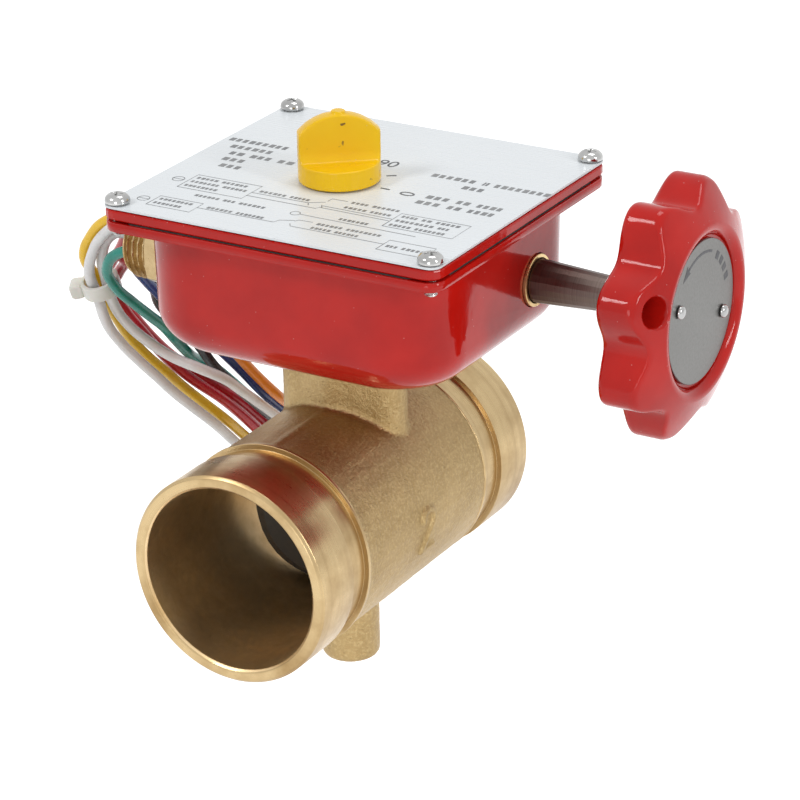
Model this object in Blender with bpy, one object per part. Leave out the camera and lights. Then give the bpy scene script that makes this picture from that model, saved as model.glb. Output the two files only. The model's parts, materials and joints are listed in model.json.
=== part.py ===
# Grooved butterfly valve, 2 inch, with a worm gearbox, a handwheel and two position switches.
#
# Metres, +Z up. The origin is where the pipe axis (Y) crosses the stem axis (Z). The handwheel's shaft lies
# along X. The front pipe end is at -Y and the handwheel is at +X. The disc, the stem and everything on it are
# modelled with the disc part open, turned REST_TURN from closed.

import bpy
import bmesh
import math
from mathutils import Matrix, Vector

# Clearance between neighbouring pieces
GAP = 0.0003
# How far a joined or cutting form runs past the face that it meets
OVERLAP = 0.001

# Pipe body, to the 2 inch grooved-end sizes
PIPE_OUTSIDE = 0.0603
PIPE_WALL = 0.00385
FRONT_LENGTH = 0.0628
REAR_LENGTH = 0.0515
GASKET_SEAT = 0.01588
GROOVE_WIDTH = 0.00795
GROOVE_DEPTH = 0.001575
CAST_WALL = 0.0034
END_CHAMFER = 0.0008
GROOVE_LAND = 0.0011
PARTING_RIDGE_WIDTH = 0.0014
PARTING_RIDGE_HEIGHT = 0.0004
BOSS_DIAMETER = 0.0168
BOSS_DROP = 0.01985
BOSS_EDGE = 0.0012

# Neck that carries the gearbox
NECK_BARREL_RADIUS = 0.0095
NECK_LOBE_RADIUS = 0.0060
NECK_RISE = 0.01925
NECK_BOLT_SPACING = 0.0267
NECK_BOLT_DIAMETER = 0.0050
NECK_BOLT_HEAD_DIAMETER = 0.0085
NECK_BOLT_HEAD_HEIGHT = 0.0050
NECK_BOLT_LENGTH = 0.0180
NECK_GASKET_THICKNESS = 0.0008

# Disc
REST_TURN = math.radians(38.0)
DISC_THICKNESS = 0.0086
DISC_SKIN = 0.0020
DISC_HUB_DIAMETER = 0.0202
DISC_EDGE_ROUND = 0.0016

# Stem
STEM_DIAMETER = 0.0090
STEM_FLATS = 0.0070
STEM_TIP_DIAMETER = 0.0060
STEM_TIP_LENGTH = 0.0057
STEM_GRIP = 0.0165
STEM_BUSH_WALL = 0.0014
UPPER_BUSH_LENGTH = 0.0140
LOWER_BUSH_LENGTH = 0.0115
STEM_RING_RISE = 0.0032
STEM_RING_SECTION = 0.0020
BOSS_FLOOR = 0.0057

# Gear housing: a bowl with rounded edges below a flat flange
HOUSING_LEFT = -0.0471
HOUSING_RIGHT = 0.0566
HOUSING_FRONT = -0.0468
HOUSING_BACK = 0.0494
FLANGE_CORNER = 0.0050
FLANGE_THICKNESS = 0.0026
BOWL_INSET = 0.0045
BOWL_CORNER = 0.0200
BOWL_BOTTOM_ROUND = 0.0114
BOWL_LEAST_CORNER = 0.0040
BOWL_LEAST_ROUND = 0.0020
BOWL_DRAFT = 0.0008
BOWL_WALL = 0.0035
FLOOR_THICKNESS = 0.0040

# Cover, label plate and their screws
COVER_STANDOFF = 0.0006
COVER_THICKNESS = 0.0029
COVER_CORNER = 0.0045
COVER_EDGE = 0.0005
GASKET_WIDTH = 0.0040
GASKET_THICKNESS = 0.0009
GASKET_INSET = 0.0009
LABEL_THICKNESS = 0.0006
LABEL_CORNER = 0.0030
LABEL_HOLE_DIAMETER = 0.0140
SCREW_INSET = 0.00365
SCREW_DIAMETER = 0.0035
SCREW_HEAD_DIAMETER = 0.0070
SCREW_HEAD_HEIGHT = 0.0026
SCREW_LENGTH = 0.0090
COVER_BOSS_DIAMETER = 0.0170
COVER_BOSS_HEIGHT = 0.0026

# Worm drive
MODULE = 0.0010
GEAR_TEETH = 22
WORM_PITCH_DIAMETER = 0.0098
WORM_RISE = 0.0140
WORM_LENGTH = 0.0230
GEAR_FACE = 0.0070
GEAR_HUB_DIAMETER = 0.0160
TOOTH_HALF = 0.00062
ADDENDUM = 0.0009
DEDENDUM = 0.00125
KEY_WIDTH = 0.0030
KEY_LENGTH = 0.0100
CIRCLIP_THICKNESS = 0.0010
CIRCLIP_RISE = 0.0020
CIRCLIP_DEPTH = 0.0006

# Handwheel shaft
SHAFT_DIAMETER = 0.0123
SHAFT_END_DIAMETER = 0.0092
SHAFT_TAPER_START = 0.0535
SHAFT_END_COVER = 0.0017
JOURNAL_DIAMETER = 0.0070
JOURNAL_LENGTH = 0.0090
OUTER_BUSH_WALL = 0.0009
OUTER_BUSH_PROUD = 0.0010
OUTER_BUSH_LENGTH = 0.0064
INNER_BUSH_WALL = 0.0017
INNER_BUSH_LENGTH = 0.0080
PEDESTAL_WIDTH = 0.0160
SHAFT_RING_SECTION = 0.0010

# Handwheel
WHEEL_BACK = 0.0868
WHEEL_LOBES = 8
WHEEL_MEAN_RADIUS = 0.0325
WHEEL_LOBE_HEIGHT = 0.0032
WHEEL_LOBE_PHASE = math.radians(26.4)
WHEEL_RIM = 0.0100
WHEEL_THICKNESS = 0.0161
WHEEL_LIP_RADIUS = 0.0242
WHEEL_RECESS_RADIUS = 0.0208
WHEEL_RECESS_DEPTH = 0.0027
WHEEL_HUB_DIAMETER = 0.0180
WHEEL_HUB_LENGTH = 0.0045
WHEEL_HOLE_DIAMETER = 0.0082
WHEEL_HOLE_RADIUS = 0.0279
WHEEL_PIN_DIAMETER = 0.0030
WHEEL_LABEL_RADIUS = 0.0198
WHEEL_LABEL_THICKNESS = 0.0008
RIVET_RADIUS_AT = 0.0140
RIVET_HEAD_DIAMETER = 0.0038
RIVET_HEAD_HEIGHT = 0.0012
RIVET_SHANK_DIAMETER = 0.0020
RIVET_SHANK_LENGTH = 0.0030

# Indicator knob
KNOB_DIAMETER = 0.0227
KNOB_STANDOFF = 0.0004
KNOB_BASE_HEIGHT = 0.0056
KNOB_SHOULDER_HEIGHT = 0.0139
KNOB_HEIGHT = 0.0190
KNOB_FIN_THICKNESS = 0.0050
KNOB_FILLET = 0.0027
KNOB_PIP_DIAMETER = 0.0040
KNOB_PIP_HEIGHT = 0.0006
SET_SCREW_DIAMETER = 0.0030

# Switches, their bracket and the cam
CAM_RADIUS = 0.0080
CAM_LOBE = 0.0006
CAM_HEADROOM = 0.0004
CAM_ABOVE_GEAR = 0.0030
SWITCH_WIDTH = 0.0200
SWITCH_DEPTH = 0.0100
SWITCH_HEIGHT = 0.0060
SWITCH_HEADROOM = 0.0007
SWITCH_OFFSET = 0.0040
SWITCH_FACE = 0.0125
TAG_WIDTH = 0.0030
TAG_THICKNESS = 0.0008
TAG_LENGTH = 0.0050
TAG_SPACING = 0.0070
PLUNGER_DIAMETER = 0.0024
PLUNGER_TRAVEL = 0.0008
PLUNGER_GRIP = 0.0020
SWITCH_SCREW_DIAMETER = 0.0024
SWITCH_SCREW_SPACING = 0.0095
SWITCH_SCREW_HEAD_DIAMETER = 0.0044
SWITCH_SCREW_HEAD_HEIGHT = 0.0016
BRACKET_THICKNESS = 0.0015
BRACKET_FOOT = 0.0090
EARTH_SCREW_DIAMETER = 0.0030
EARTH_SCREW_HEAD_DIAMETER = 0.0060
EARTH_SCREW_HEAD_HEIGHT = 0.0020
EARTH_SCREW_LENGTH = 0.0038

# Conduit nipple, half inch pipe thread
NIPPLE_Y = -0.0060
NIPPLE_RISE = 0.0130
NIPPLE_REACH = 0.0194
NIPPLE_THREAD_DIAMETER = 0.0210
NIPPLE_THREAD_LENGTH = 0.0080
NIPPLE_HEX_FLATS = 0.0220
NIPPLE_SHANK_DIAMETER = 0.0196
NIPPLE_INNER_REACH = 0.0086
NIPPLE_BORE = 0.0160
NIPPLE_BOSS_DIAMETER = 0.0256

# Lead wires and the tie round them. The tie's place is counted from the middle of the nipple's mouth.
WIRE_DIAMETER = 0.0032
WIRE_RING = 0.0055
WIRE_INSIDE = 0.0010
WIRE_STEP = 0.0085
TIE_PLACE = (-0.0196, 0.0061, -0.0192)
TIE_DIRECTION = (0.08, 0.31, -0.95)
TIE_HEAD_SIDE = (-0.82, -0.40, 0.0)
TIE_INNER_RADIUS = 0.0045
TIE_WIDTH = 0.0046
TIE_THICKNESS = 0.0012
TIE_HEAD_WIDTH = 0.0052
TIE_HEAD_DEPTH = 0.0040

# Heights and places that follow from the sizes above
BORE_RADIUS = PIPE_OUTSIDE / 2 - PIPE_WALL
DISC_RADIUS = BORE_RADIUS - GAP
STEM_RADIUS = STEM_DIAMETER / 2
STEM_BORE = STEM_RADIUS + GAP + STEM_BUSH_WALL + GAP
STEM_RING_HEIGHT = BORE_RADIUS + STEM_RING_RISE
BOSS_BOTTOM = PIPE_OUTSIDE / 2 + BOSS_DROP
LOWER_BORE_DEPTH = BOSS_BOTTOM - BOSS_FLOOR
NECK_TOP = PIPE_OUTSIDE / 2 + NECK_RISE
HOUSING_BOTTOM = NECK_TOP + GAP + NECK_GASKET_THICKNESS + GAP
FLOOR_TOP = HOUSING_BOTTOM + FLOOR_THICKNESS
WORM_HEIGHT = FLOOR_TOP + WORM_RISE
GEAR_BOTTOM = WORM_HEIGHT - GEAR_FACE / 2
GEAR_TOP = WORM_HEIGHT + GEAR_FACE / 2
CAM_BOTTOM = GEAR_TOP + CAM_ABOVE_GEAR
SHELF_TOP = CAM_BOTTOM - GAP
SWITCH_TOP = SHELF_TOP + 2 * (GAP + SWITCH_HEIGHT)
COVER_BOTTOM = SWITCH_TOP + GAP + SWITCH_SCREW_HEAD_HEIGHT + SWITCH_HEADROOM
CAM_HEIGHT = COVER_BOTTOM - COVER_BOSS_HEIGHT - CAM_HEADROOM - CAM_BOTTOM
FLANGE_TOP = COVER_BOTTOM - COVER_STANDOFF
FLANGE_BOTTOM = FLANGE_TOP - FLANGE_THICKNESS
BOWL_HEIGHT = FLANGE_TOP - HOUSING_BOTTOM
COVER_TOP = COVER_BOTTOM + COVER_THICKNESS
LABEL_BOTTOM = COVER_TOP + GAP
LABEL_TOP = LABEL_BOTTOM + LABEL_THICKNESS
KNOB_BOTTOM = LABEL_TOP + KNOB_STANDOFF
GEAR_PITCH_RADIUS = MODULE * GEAR_TEETH / 2
WORM_PITCH_RADIUS = WORM_PITCH_DIAMETER / 2
WORM_Y = GEAR_PITCH_RADIUS + WORM_PITCH_RADIUS
WORM_LEAD = math.pi * MODULE
BOWL_LEFT = HOUSING_LEFT + BOWL_INSET
BOWL_RIGHT = HOUSING_RIGHT - BOWL_INSET
BOWL_FRONT = HOUSING_FRONT + BOWL_INSET
BOWL_BACK = HOUSING_BACK - BOWL_INSET
SHAFT_RADIUS = SHAFT_DIAMETER / 2
JOURNAL_RADIUS = JOURNAL_DIAMETER / 2
OUTER_BUSH_OUTER = SHAFT_RADIUS + GAP + OUTER_BUSH_WALL
WALL_OUTER_X = BOWL_RIGHT - BOWL_DRAFT / 2
OUTER_BUSH_END = WALL_OUTER_X + OUTER_BUSH_PROUD
OUTER_BUSH_START = OUTER_BUSH_END - OUTER_BUSH_LENGTH
WORM_START = -WORM_LENGTH / 2
JOURNAL_END = WORM_START - JOURNAL_LENGTH - GAP
WHEEL_FRONT = WHEEL_BACK + WHEEL_THICKNESS
RECESS_FLOOR = WHEEL_FRONT - WHEEL_RECESS_DEPTH
SHAFT_END = RECESS_FLOOR - SHAFT_END_COVER
CLIP_X = OUTER_BUSH_START - GAP - CIRCLIP_THICKNESS
SWITCH_BACK = SWITCH_FACE + SWITCH_DEPTH
NIPPLE_Z = FLOOR_TOP + NIPPLE_RISE
NIPPLE_END = BOWL_LEFT - NIPPLE_REACH
NIPPLE_INNER_END = BOWL_LEFT + NIPPLE_INNER_REACH
WIRE_START = NIPPLE_INNER_END + WIRE_INSIDE


# Materials

def material(name, colour, roughness, metallic=0.0):
    made = bpy.data.materials.new(name)
    made.use_nodes = True
    shader = made.node_tree.nodes["Principled BSDF"]
    shader.inputs["Base Color"].default_value = (*colour, 1.0)
    shader.inputs["Roughness"].default_value = roughness
    shader.inputs["Metallic"].default_value = metallic
    made.diffuse_color = (*colour, 1.0)
    return made


# Mesh helpers

def clear_scene():
    for thing in list(bpy.data.objects):
        bpy.data.objects.remove(thing)


def object_from(name, mesh_data, finish=None, smooth=True):
    bmesh.ops.recalc_face_normals(mesh_data, faces=mesh_data.faces)
    mesh = bpy.data.meshes.new(name)
    mesh_data.to_mesh(mesh)
    mesh_data.free()
    if smooth:
        mesh.shade_smooth()
        mesh.set_sharp_from_angle(angle=math.radians(32.0))
    made = bpy.data.objects.new(name, mesh)
    bpy.context.scene.collection.objects.link(made)
    if finish is not None:
        mesh.materials.append(finish)
    return made


def revolved(name, profile, finish=None, steps=20):
    """Turn a (radius, height) profile round Z. A profile that starts and ends off the axis is closed."""
    data = bmesh.new()
    points = [data.verts.new((radius, 0.0, height)) for radius, height in profile]
    edges = [data.edges.new(pair) for pair in zip(points, points[1:])]
    if profile[0][0] > 0.0 and profile[-1][0] > 0.0:
        edges.append(data.edges.new((points[-1], points[0])))
    bmesh.ops.spin(
        data, geom=points + edges, cent=(0, 0, 0), axis=(0, 0, 1),
        angle=2 * math.pi, steps=steps, use_merge=True,
    )
    bmesh.ops.remove_doubles(data, verts=data.verts, dist=1e-7)
    return object_from(name, data, finish)


def cylinder(name, radius, low, high, finish=None, steps=20, chamfer=0.0):
    if chamfer <= 0.0:
        profile = [(0.0, low), (radius, low), (radius, high), (0.0, high)]
    else:
        profile = [
            (0.0, low), (radius - chamfer, low), (radius, low + chamfer),
            (radius, high - chamfer), (radius - chamfer, high), (0.0, high),
        ]
    return revolved(name, profile, finish, steps)


def tube(name, inner, outer, low, high, finish=None, steps=20, chamfer=0.0):
    profile = [
        (inner, low), (outer - chamfer, low), (outer, low + chamfer),
        (outer, high - chamfer), (outer - chamfer, high), (inner, high),
    ]
    if chamfer <= 0.0:
        profile = [(inner, low), (outer, low), (outer, high), (inner, high)]
    return revolved(name, profile, finish, steps)


def o_ring(name, inner, section, height, finish=None, steps=16, sides=6):
    centre = inner + section / 2
    profile = []
    for index in range(sides):
        turn = 2 * math.pi * index / sides
        profile.append((centre + section / 2 * math.cos(turn), height + section / 2 * math.sin(turn)))
    return revolved(name, profile, finish, steps)


def prism(name, outline, low, high, finish=None, smooth=True):
    """Extrude a closed outline in the XY plane from one height to another."""
    data = bmesh.new()
    face = data.faces.new([data.verts.new((x, y, low)) for x, y in outline])
    extruded = bmesh.ops.extrude_face_region(data, geom=[face])
    moved = [part for part in extruded["geom"] if isinstance(part, bmesh.types.BMVert)]
    bmesh.ops.translate(data, verts=moved, vec=(0.0, 0.0, high - low))
    return object_from(name, data, finish, smooth)


def box(name, low, high, finish=None):
    outline = [(low[0], low[1]), (high[0], low[1]), (high[0], high[1]), (low[0], high[1])]
    return prism(name, outline, low[2], high[2], finish, smooth=False)


def lofted(name, rings, finish=None):
    """Skin a stack of equal-length closed rings and cap both ends."""
    data = bmesh.new()
    rows = [[data.verts.new(point) for point in ring] for ring in rings]
    count = len(rows[0])
    for lower, upper in zip(rows, rows[1:]):
        for index in range(count):
            after = (index + 1) % count
            data.faces.new((lower[index], lower[after], upper[after], upper[index]))
    data.faces.new(rows[0])
    data.faces.new(rows[-1])
    return object_from(name, data, finish)


def combine(target, tool, operation):
    """Join or cut with a Boolean, keep the result as the mesh and drop the tool."""
    change = target.modifiers.new("Combine", "BOOLEAN")
    change.operation = operation
    change.object = tool
    change.solver = "EXACT"
    bpy.context.view_layer.update()
    graph = bpy.context.evaluated_depsgraph_get()
    result = bpy.data.meshes.new_from_object(target.evaluated_get(graph))
    target.modifiers.clear()
    result.name = target.data.name
    target.data = result
    bpy.data.objects.remove(tool)
    result.shade_smooth()
    result.set_sharp_from_angle(angle=math.radians(32.0))


def cut(target, *tools):
    for tool in tools:
        combine(target, tool, "DIFFERENCE")


def join(target, *tools):
    for tool in tools:
        combine(target, tool, "UNION")


def along_x(thing, location=(0.0, 0.0, 0.0)):
    thing.rotation_euler = (0.0, math.pi / 2, 0.0)
    thing.location = location
    return thing


def along_y(thing, location=(0.0, 0.0, 0.0)):
    thing.rotation_euler = (-math.pi / 2, 0.0, 0.0)
    thing.location = location
    return thing


def at(thing, location):
    thing.location = location
    return thing


def turned(thing, angle, location=(0.0, 0.0, 0.0)):
    thing.rotation_euler = (0.0, 0.0, angle)
    thing.location = location
    return thing


def settled(thing):
    """Move the object's turn and place into its mesh, so that its own axes are the part's axes again."""
    thing.data.transform(thing.matrix_basis)
    thing.matrix_basis = Matrix.Identity(4)
    return thing


# Outlines

def arc(centre, radius, start, end, steps):
    points = []
    for index in range(steps + 1):
        turn = start + (end - start) * index / steps
        points.append((centre[0] + radius * math.cos(turn), centre[1] + radius * math.sin(turn)))
    return points


def rounded_rectangle(left, right, front, back, radius, steps=4):
    quarter = math.pi / 2
    corners = (
        (right - radius, back - radius, 0.0), (left + radius, back - radius, quarter),
        (left + radius, front + radius, 2 * quarter), (right - radius, front + radius, 3 * quarter),
    )
    outline = []
    for x, y, start in corners:
        outline += arc((x, y), radius, start, start + quarter, steps)
    return outline


def neck_outline(steps=6):
    """Barrel and two bolt lobes, joined by their common tangents."""
    lobe_x = NECK_BOLT_SPACING / 2
    lean = math.acos((NECK_BARREL_RADIUS - NECK_LOBE_RADIUS) / lobe_x)
    outline = arc((lobe_x, 0.0), NECK_LOBE_RADIUS, -lean, lean, steps)
    outline += arc((0.0, 0.0), NECK_BARREL_RADIUS, lean, math.pi - lean, 3)
    outline += arc((-lobe_x, 0.0), NECK_LOBE_RADIUS, math.pi - lean, math.pi + lean, steps)
    outline += arc((0.0, 0.0), NECK_BARREL_RADIUS, math.pi + lean, 2 * math.pi - lean, 3)
    return outline


def circlip_outline(inner, outer, opening=math.radians(40.0), steps=14):
    start = opening / 2
    end = 2 * math.pi - opening / 2
    return arc((0.0, 0.0), outer, start, end, steps) + arc((0.0, 0.0), inner, end, start, steps)


def gear_outline(twist):
    pitch = 2 * math.pi / GEAR_TEETH
    slope = math.tan(math.radians(20.0))
    root = GEAR_PITCH_RADIUS - DEDENDUM
    tip = GEAR_PITCH_RADIUS + ADDENDUM
    root_half = (TOOTH_HALF + DEDENDUM * slope) / root
    tip_half = (TOOTH_HALF - ADDENDUM * slope) / tip
    outline = []
    for tooth in range(GEAR_TEETH):
        centre = math.pi / 2 + pitch * (tooth + 0.5) + twist
        for radius, offset in ((root, -root_half), (tip, -tip_half), (tip, tip_half), (root, root_half)):
            outline.append((radius * math.cos(centre + offset), radius * math.sin(centre + offset)))
    return outline


# Valve body

def make_valve_body(finish):
    radius = PIPE_OUTSIDE / 2
    groove = radius - GROOVE_DEPTH
    cast = BORE_RADIUS + CAST_WALL
    outer = [
        (0.0, -FRONT_LENGTH), (radius - END_CHAMFER, -FRONT_LENGTH), (radius, -FRONT_LENGTH + END_CHAMFER),
        (radius, -FRONT_LENGTH + GASKET_SEAT), (groove, -FRONT_LENGTH + GASKET_SEAT),
        (groove, -FRONT_LENGTH + GASKET_SEAT + GROOVE_WIDTH),
        (radius, -FRONT_LENGTH + GASKET_SEAT + GROOVE_WIDTH),
        (radius, -FRONT_LENGTH + GASKET_SEAT + GROOVE_WIDTH + GROOVE_LAND),
        (cast, -FRONT_LENGTH + GASKET_SEAT + GROOVE_WIDTH + 2 * GROOVE_LAND),
        (cast, REAR_LENGTH - GASKET_SEAT - GROOVE_WIDTH),
        (groove, REAR_LENGTH - GASKET_SEAT - GROOVE_WIDTH), (groove, REAR_LENGTH - GASKET_SEAT),
        (radius, REAR_LENGTH - GASKET_SEAT), (radius, REAR_LENGTH - END_CHAMFER),
        (radius - END_CHAMFER, REAR_LENGTH), (0.0, REAR_LENGTH),
    ]
    body = along_y(revolved("valve_body", outer, finish, steps=40))
    neck = prism("neck", neck_outline(), 0.0, NECK_TOP)
    boss = revolved("boss", [
        (0.0, -BOSS_BOTTOM), (BOSS_DIAMETER / 2 - BOSS_EDGE, -BOSS_BOTTOM),
        (BOSS_DIAMETER / 2, -BOSS_BOTTOM + BOSS_EDGE), (BOSS_DIAMETER / 2, 0.0), (0.0, 0.0),
    ])
    ridge_from = -FRONT_LENGTH + GASKET_SEAT + GROOVE_WIDTH + 2 * GROOVE_LAND
    ridge = box(
        "ridge", (-PARTING_RIDGE_WIDTH / 2, ridge_from, 0.0),
        (PARTING_RIDGE_WIDTH / 2, 0.0, cast + PARTING_RIDGE_HEIGHT),
    )
    join(body, neck, boss, ridge)
    bore_profile = [
        (0.0, -FRONT_LENGTH - OVERLAP), (BORE_RADIUS + END_CHAMFER + OVERLAP, -FRONT_LENGTH - OVERLAP),
        (BORE_RADIUS, -FRONT_LENGTH + END_CHAMFER), (BORE_RADIUS, REAR_LENGTH - END_CHAMFER),
        (BORE_RADIUS + END_CHAMFER + OVERLAP, REAR_LENGTH + OVERLAP), (0.0, REAR_LENGTH + OVERLAP),
    ]
    cut(body, along_y(revolved("bore", bore_profile, steps=40)))
    cut(body, cylinder("stem_bore", STEM_BORE, -LOWER_BORE_DEPTH, NECK_TOP + OVERLAP, steps=20))
    for side in (-1, 1):
        hole = cylinder("bolt_hole", NECK_BOLT_DIAMETER / 2 + GAP, neck_bolt_end() - GAP, NECK_TOP + OVERLAP,
                        steps=12)
        cut(body, at(hole, (side * NECK_BOLT_SPACING / 2, 0.0, 0.0)))
    return body


def neck_bolt_end():
    return FLOOR_TOP + GAP - NECK_BOLT_LENGTH


# Disc: a core with a rubber skin moulded round it

def disc_form(name, thickness, edge_inset, hub_radius, finish=None):
    """Round plate with a hub along the stem. The hub's flat ends turn clear of the bore."""
    edge = DISC_RADIUS - edge_inset
    half = thickness / 2
    plate_part = along_y(revolved(name, [
        (0.0, -half), (edge - DISC_EDGE_ROUND, -half), (edge, -half + DISC_EDGE_ROUND),
        (edge, half - DISC_EDGE_ROUND), (edge - DISC_EDGE_ROUND, half), (0.0, half),
    ], finish, steps=40))
    join(plate_part, cylinder("hub", hub_radius, -disc_hub_end(), disc_hub_end(), steps=20))
    return settled(plate_part)


def disc_hub_end():
    return math.sqrt(DISC_RADIUS ** 2 - (DISC_HUB_DIAMETER / 2) ** 2)


def stem_flat_block(name, clearance, low, high):
    """Section of the upper stem's two flats, for the stem and for its seat in the disc."""
    half = STEM_FLATS / 2 + clearance
    round_part = cylinder(name, STEM_RADIUS + clearance, low, high, steps=20)
    slab = box("slab", (-STEM_DIAMETER, -half, low - OVERLAP), (STEM_DIAMETER, half, high + OVERLAP))
    combine(round_part, slab, "INTERSECT")
    return round_part


def make_disc(core_finish, skin_finish):
    core_thickness = DISC_THICKNESS - 2 * (DISC_SKIN + GAP)
    core_hub = DISC_HUB_DIAMETER / 2 - DISC_SKIN - GAP
    core = disc_form("disc_core", core_thickness, DISC_SKIN + GAP, core_hub, core_finish)
    cut(core, stem_flat_block("seat", GAP, DISC_RADIUS - STEM_GRIP - GAP, DISC_RADIUS + OVERLAP))
    cut(core, cylinder("seat", STEM_RADIUS + GAP, -DISC_RADIUS - OVERLAP, -DISC_RADIUS + STEM_GRIP + GAP,
                       steps=20))
    skin = disc_form("disc_seal", DISC_THICKNESS, 0.0, DISC_HUB_DIAMETER / 2, skin_finish)
    half = core_thickness / 2 + GAP
    edge = DISC_RADIUS - DISC_SKIN
    room = along_y(revolved("room", [
        (0.0, -half), (edge - DISC_EDGE_ROUND, -half), (edge, -half + DISC_EDGE_ROUND),
        (edge, half - DISC_EDGE_ROUND), (edge - DISC_EDGE_ROUND, half), (0.0, half),
    ], steps=40))
    join(room, cylinder("hub", core_hub + GAP, -BORE_RADIUS - OVERLAP, BORE_RADIUS + OVERLAP, steps=20))
    cut(skin, room)
    return turned(core, REST_TURN), turned(skin, REST_TURN)


# Stem

def make_upper_stem(finish):
    low = DISC_RADIUS - STEM_GRIP
    top = COVER_TOP - GAP
    tip_top = top + STEM_TIP_LENGTH
    tip = STEM_TIP_DIAMETER / 2
    ring_floor = STEM_RADIUS - CIRCLIP_DEPTH
    half_ring = STEM_RING_SECTION / 2 + GAP
    ring_seat = STEM_RADIUS + STEM_BUSH_WALL + GAP - STEM_RING_SECTION - GAP
    clip = GEAR_TOP + GAP
    stem = revolved("upper_stem", [
        (0.0, low), (STEM_RADIUS, low),
        (STEM_RADIUS, STEM_RING_HEIGHT - half_ring), (ring_seat, STEM_RING_HEIGHT - half_ring),
        (ring_seat, STEM_RING_HEIGHT + half_ring), (STEM_RADIUS, STEM_RING_HEIGHT + half_ring),
        (STEM_RADIUS, clip), (ring_floor, clip),
        (ring_floor, clip + CIRCLIP_THICKNESS + 2 * GAP), (STEM_RADIUS, clip + CIRCLIP_THICKNESS + 2 * GAP),
        (STEM_RADIUS, top), (tip, top), (tip, tip_top - 0.0004), (tip - 0.0004, tip_top), (0.0, tip_top),
    ], finish, steps=20)
    flat_top = DISC_RADIUS
    for side in (-1, 1):
        near = side * STEM_FLATS / 2
        far = side * STEM_DIAMETER
        cut(stem, box("flat", (-STEM_DIAMETER, min(near, far), low - OVERLAP),
                      (STEM_DIAMETER, max(near, far), flat_top)))
    key = key_size()
    cut(stem, box("keyway", (key["bottom_x"] - GAP, -key["half"] - GAP, key["low"] - GAP),
                  (STEM_DIAMETER, key["half"] + GAP, key["high"] + GAP)))
    return turned(stem, REST_TURN)


def key_size():
    middle = (FLOOR_TOP + GAP + GEAR_TOP) / 2
    return {
        "half": KEY_WIDTH / 2,
        "bottom_x": STEM_RADIUS - KEY_WIDTH / 2,
        "top_x": STEM_RADIUS + KEY_WIDTH / 2,
        "low": middle - KEY_LENGTH / 2,
        "high": middle + KEY_LENGTH / 2,
    }


def make_lower_stem(finish):
    high = -DISC_RADIUS + STEM_GRIP
    low = -LOWER_BORE_DEPTH + GAP
    half_ring = STEM_RING_SECTION / 2 + GAP
    ring_seat = STEM_RADIUS + STEM_BUSH_WALL + GAP - STEM_RING_SECTION - GAP
    stem = revolved("lower_stem", [
        (0.0, low), (STEM_RADIUS - 0.0005, low), (STEM_RADIUS, low + 0.0005),
        (STEM_RADIUS, -STEM_RING_HEIGHT - half_ring), (ring_seat, -STEM_RING_HEIGHT - half_ring),
        (ring_seat, -STEM_RING_HEIGHT + half_ring), (STEM_RADIUS, -STEM_RING_HEIGHT + half_ring),
        (STEM_RADIUS, high), (0.0, high),
    ], finish, steps=20)
    return turned(stem, REST_TURN)


def make_stem_bushes(finish):
    inner = STEM_RADIUS + GAP
    outer = inner + STEM_BUSH_WALL
    high = NECK_TOP
    upper = tube("upper_stem_bush", inner, outer, high - UPPER_BUSH_LENGTH, high, finish, steps=20)
    low = -LOWER_BORE_DEPTH + GAP
    lower = tube("lower_stem_bush", inner, outer, low, low + LOWER_BUSH_LENGTH, finish, steps=20)
    return upper, lower


def make_stem_rings(finish):
    inner = STEM_RADIUS + STEM_BUSH_WALL + GAP - STEM_RING_SECTION
    upper = o_ring("upper_stem_ring", inner, STEM_RING_SECTION, STEM_RING_HEIGHT, finish)
    lower = o_ring("lower_stem_ring", inner, STEM_RING_SECTION, -STEM_RING_HEIGHT, finish)
    return upper, lower


# Neck joint

def make_neck_gasket(finish):
    low = NECK_TOP + GAP
    high = low + NECK_GASKET_THICKNESS
    gasket = prism("neck_gasket", neck_outline(), low, high, finish)
    cut(gasket, cylinder("hole", STEM_BORE + GAP, low - OVERLAP, high + OVERLAP, steps=20))
    for side in (-1, 1):
        hole = cylinder("hole", NECK_BOLT_DIAMETER / 2 + GAP, low - OVERLAP, high + OVERLAP, steps=12)
        cut(gasket, at(hole, (side * NECK_BOLT_SPACING / 2, 0.0, 0.0)))
    return gasket


def make_neck_bolt(name, side, finish):
    seat = FLOOR_TOP + GAP
    head = NECK_BOLT_HEAD_DIAMETER / 2
    shank = NECK_BOLT_DIAMETER / 2
    top = seat + NECK_BOLT_HEAD_HEIGHT
    bolt = revolved(name, [
        (0.0, neck_bolt_end()), (shank - 0.0004, neck_bolt_end()), (shank, neck_bolt_end() + 0.0004),
        (shank, seat), (head, seat), (head, top), (0.0, top),
    ], finish, steps=14)
    socket = prism("socket", arc((0.0, 0.0), shank * 0.9, 0.0, 5 * math.pi / 3, 5), top - 0.0025, top + OVERLAP)
    cut(bolt, socket)
    return at(bolt, (side * NECK_BOLT_SPACING / 2, 0.0, 0.0))


# Gear housing

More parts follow.
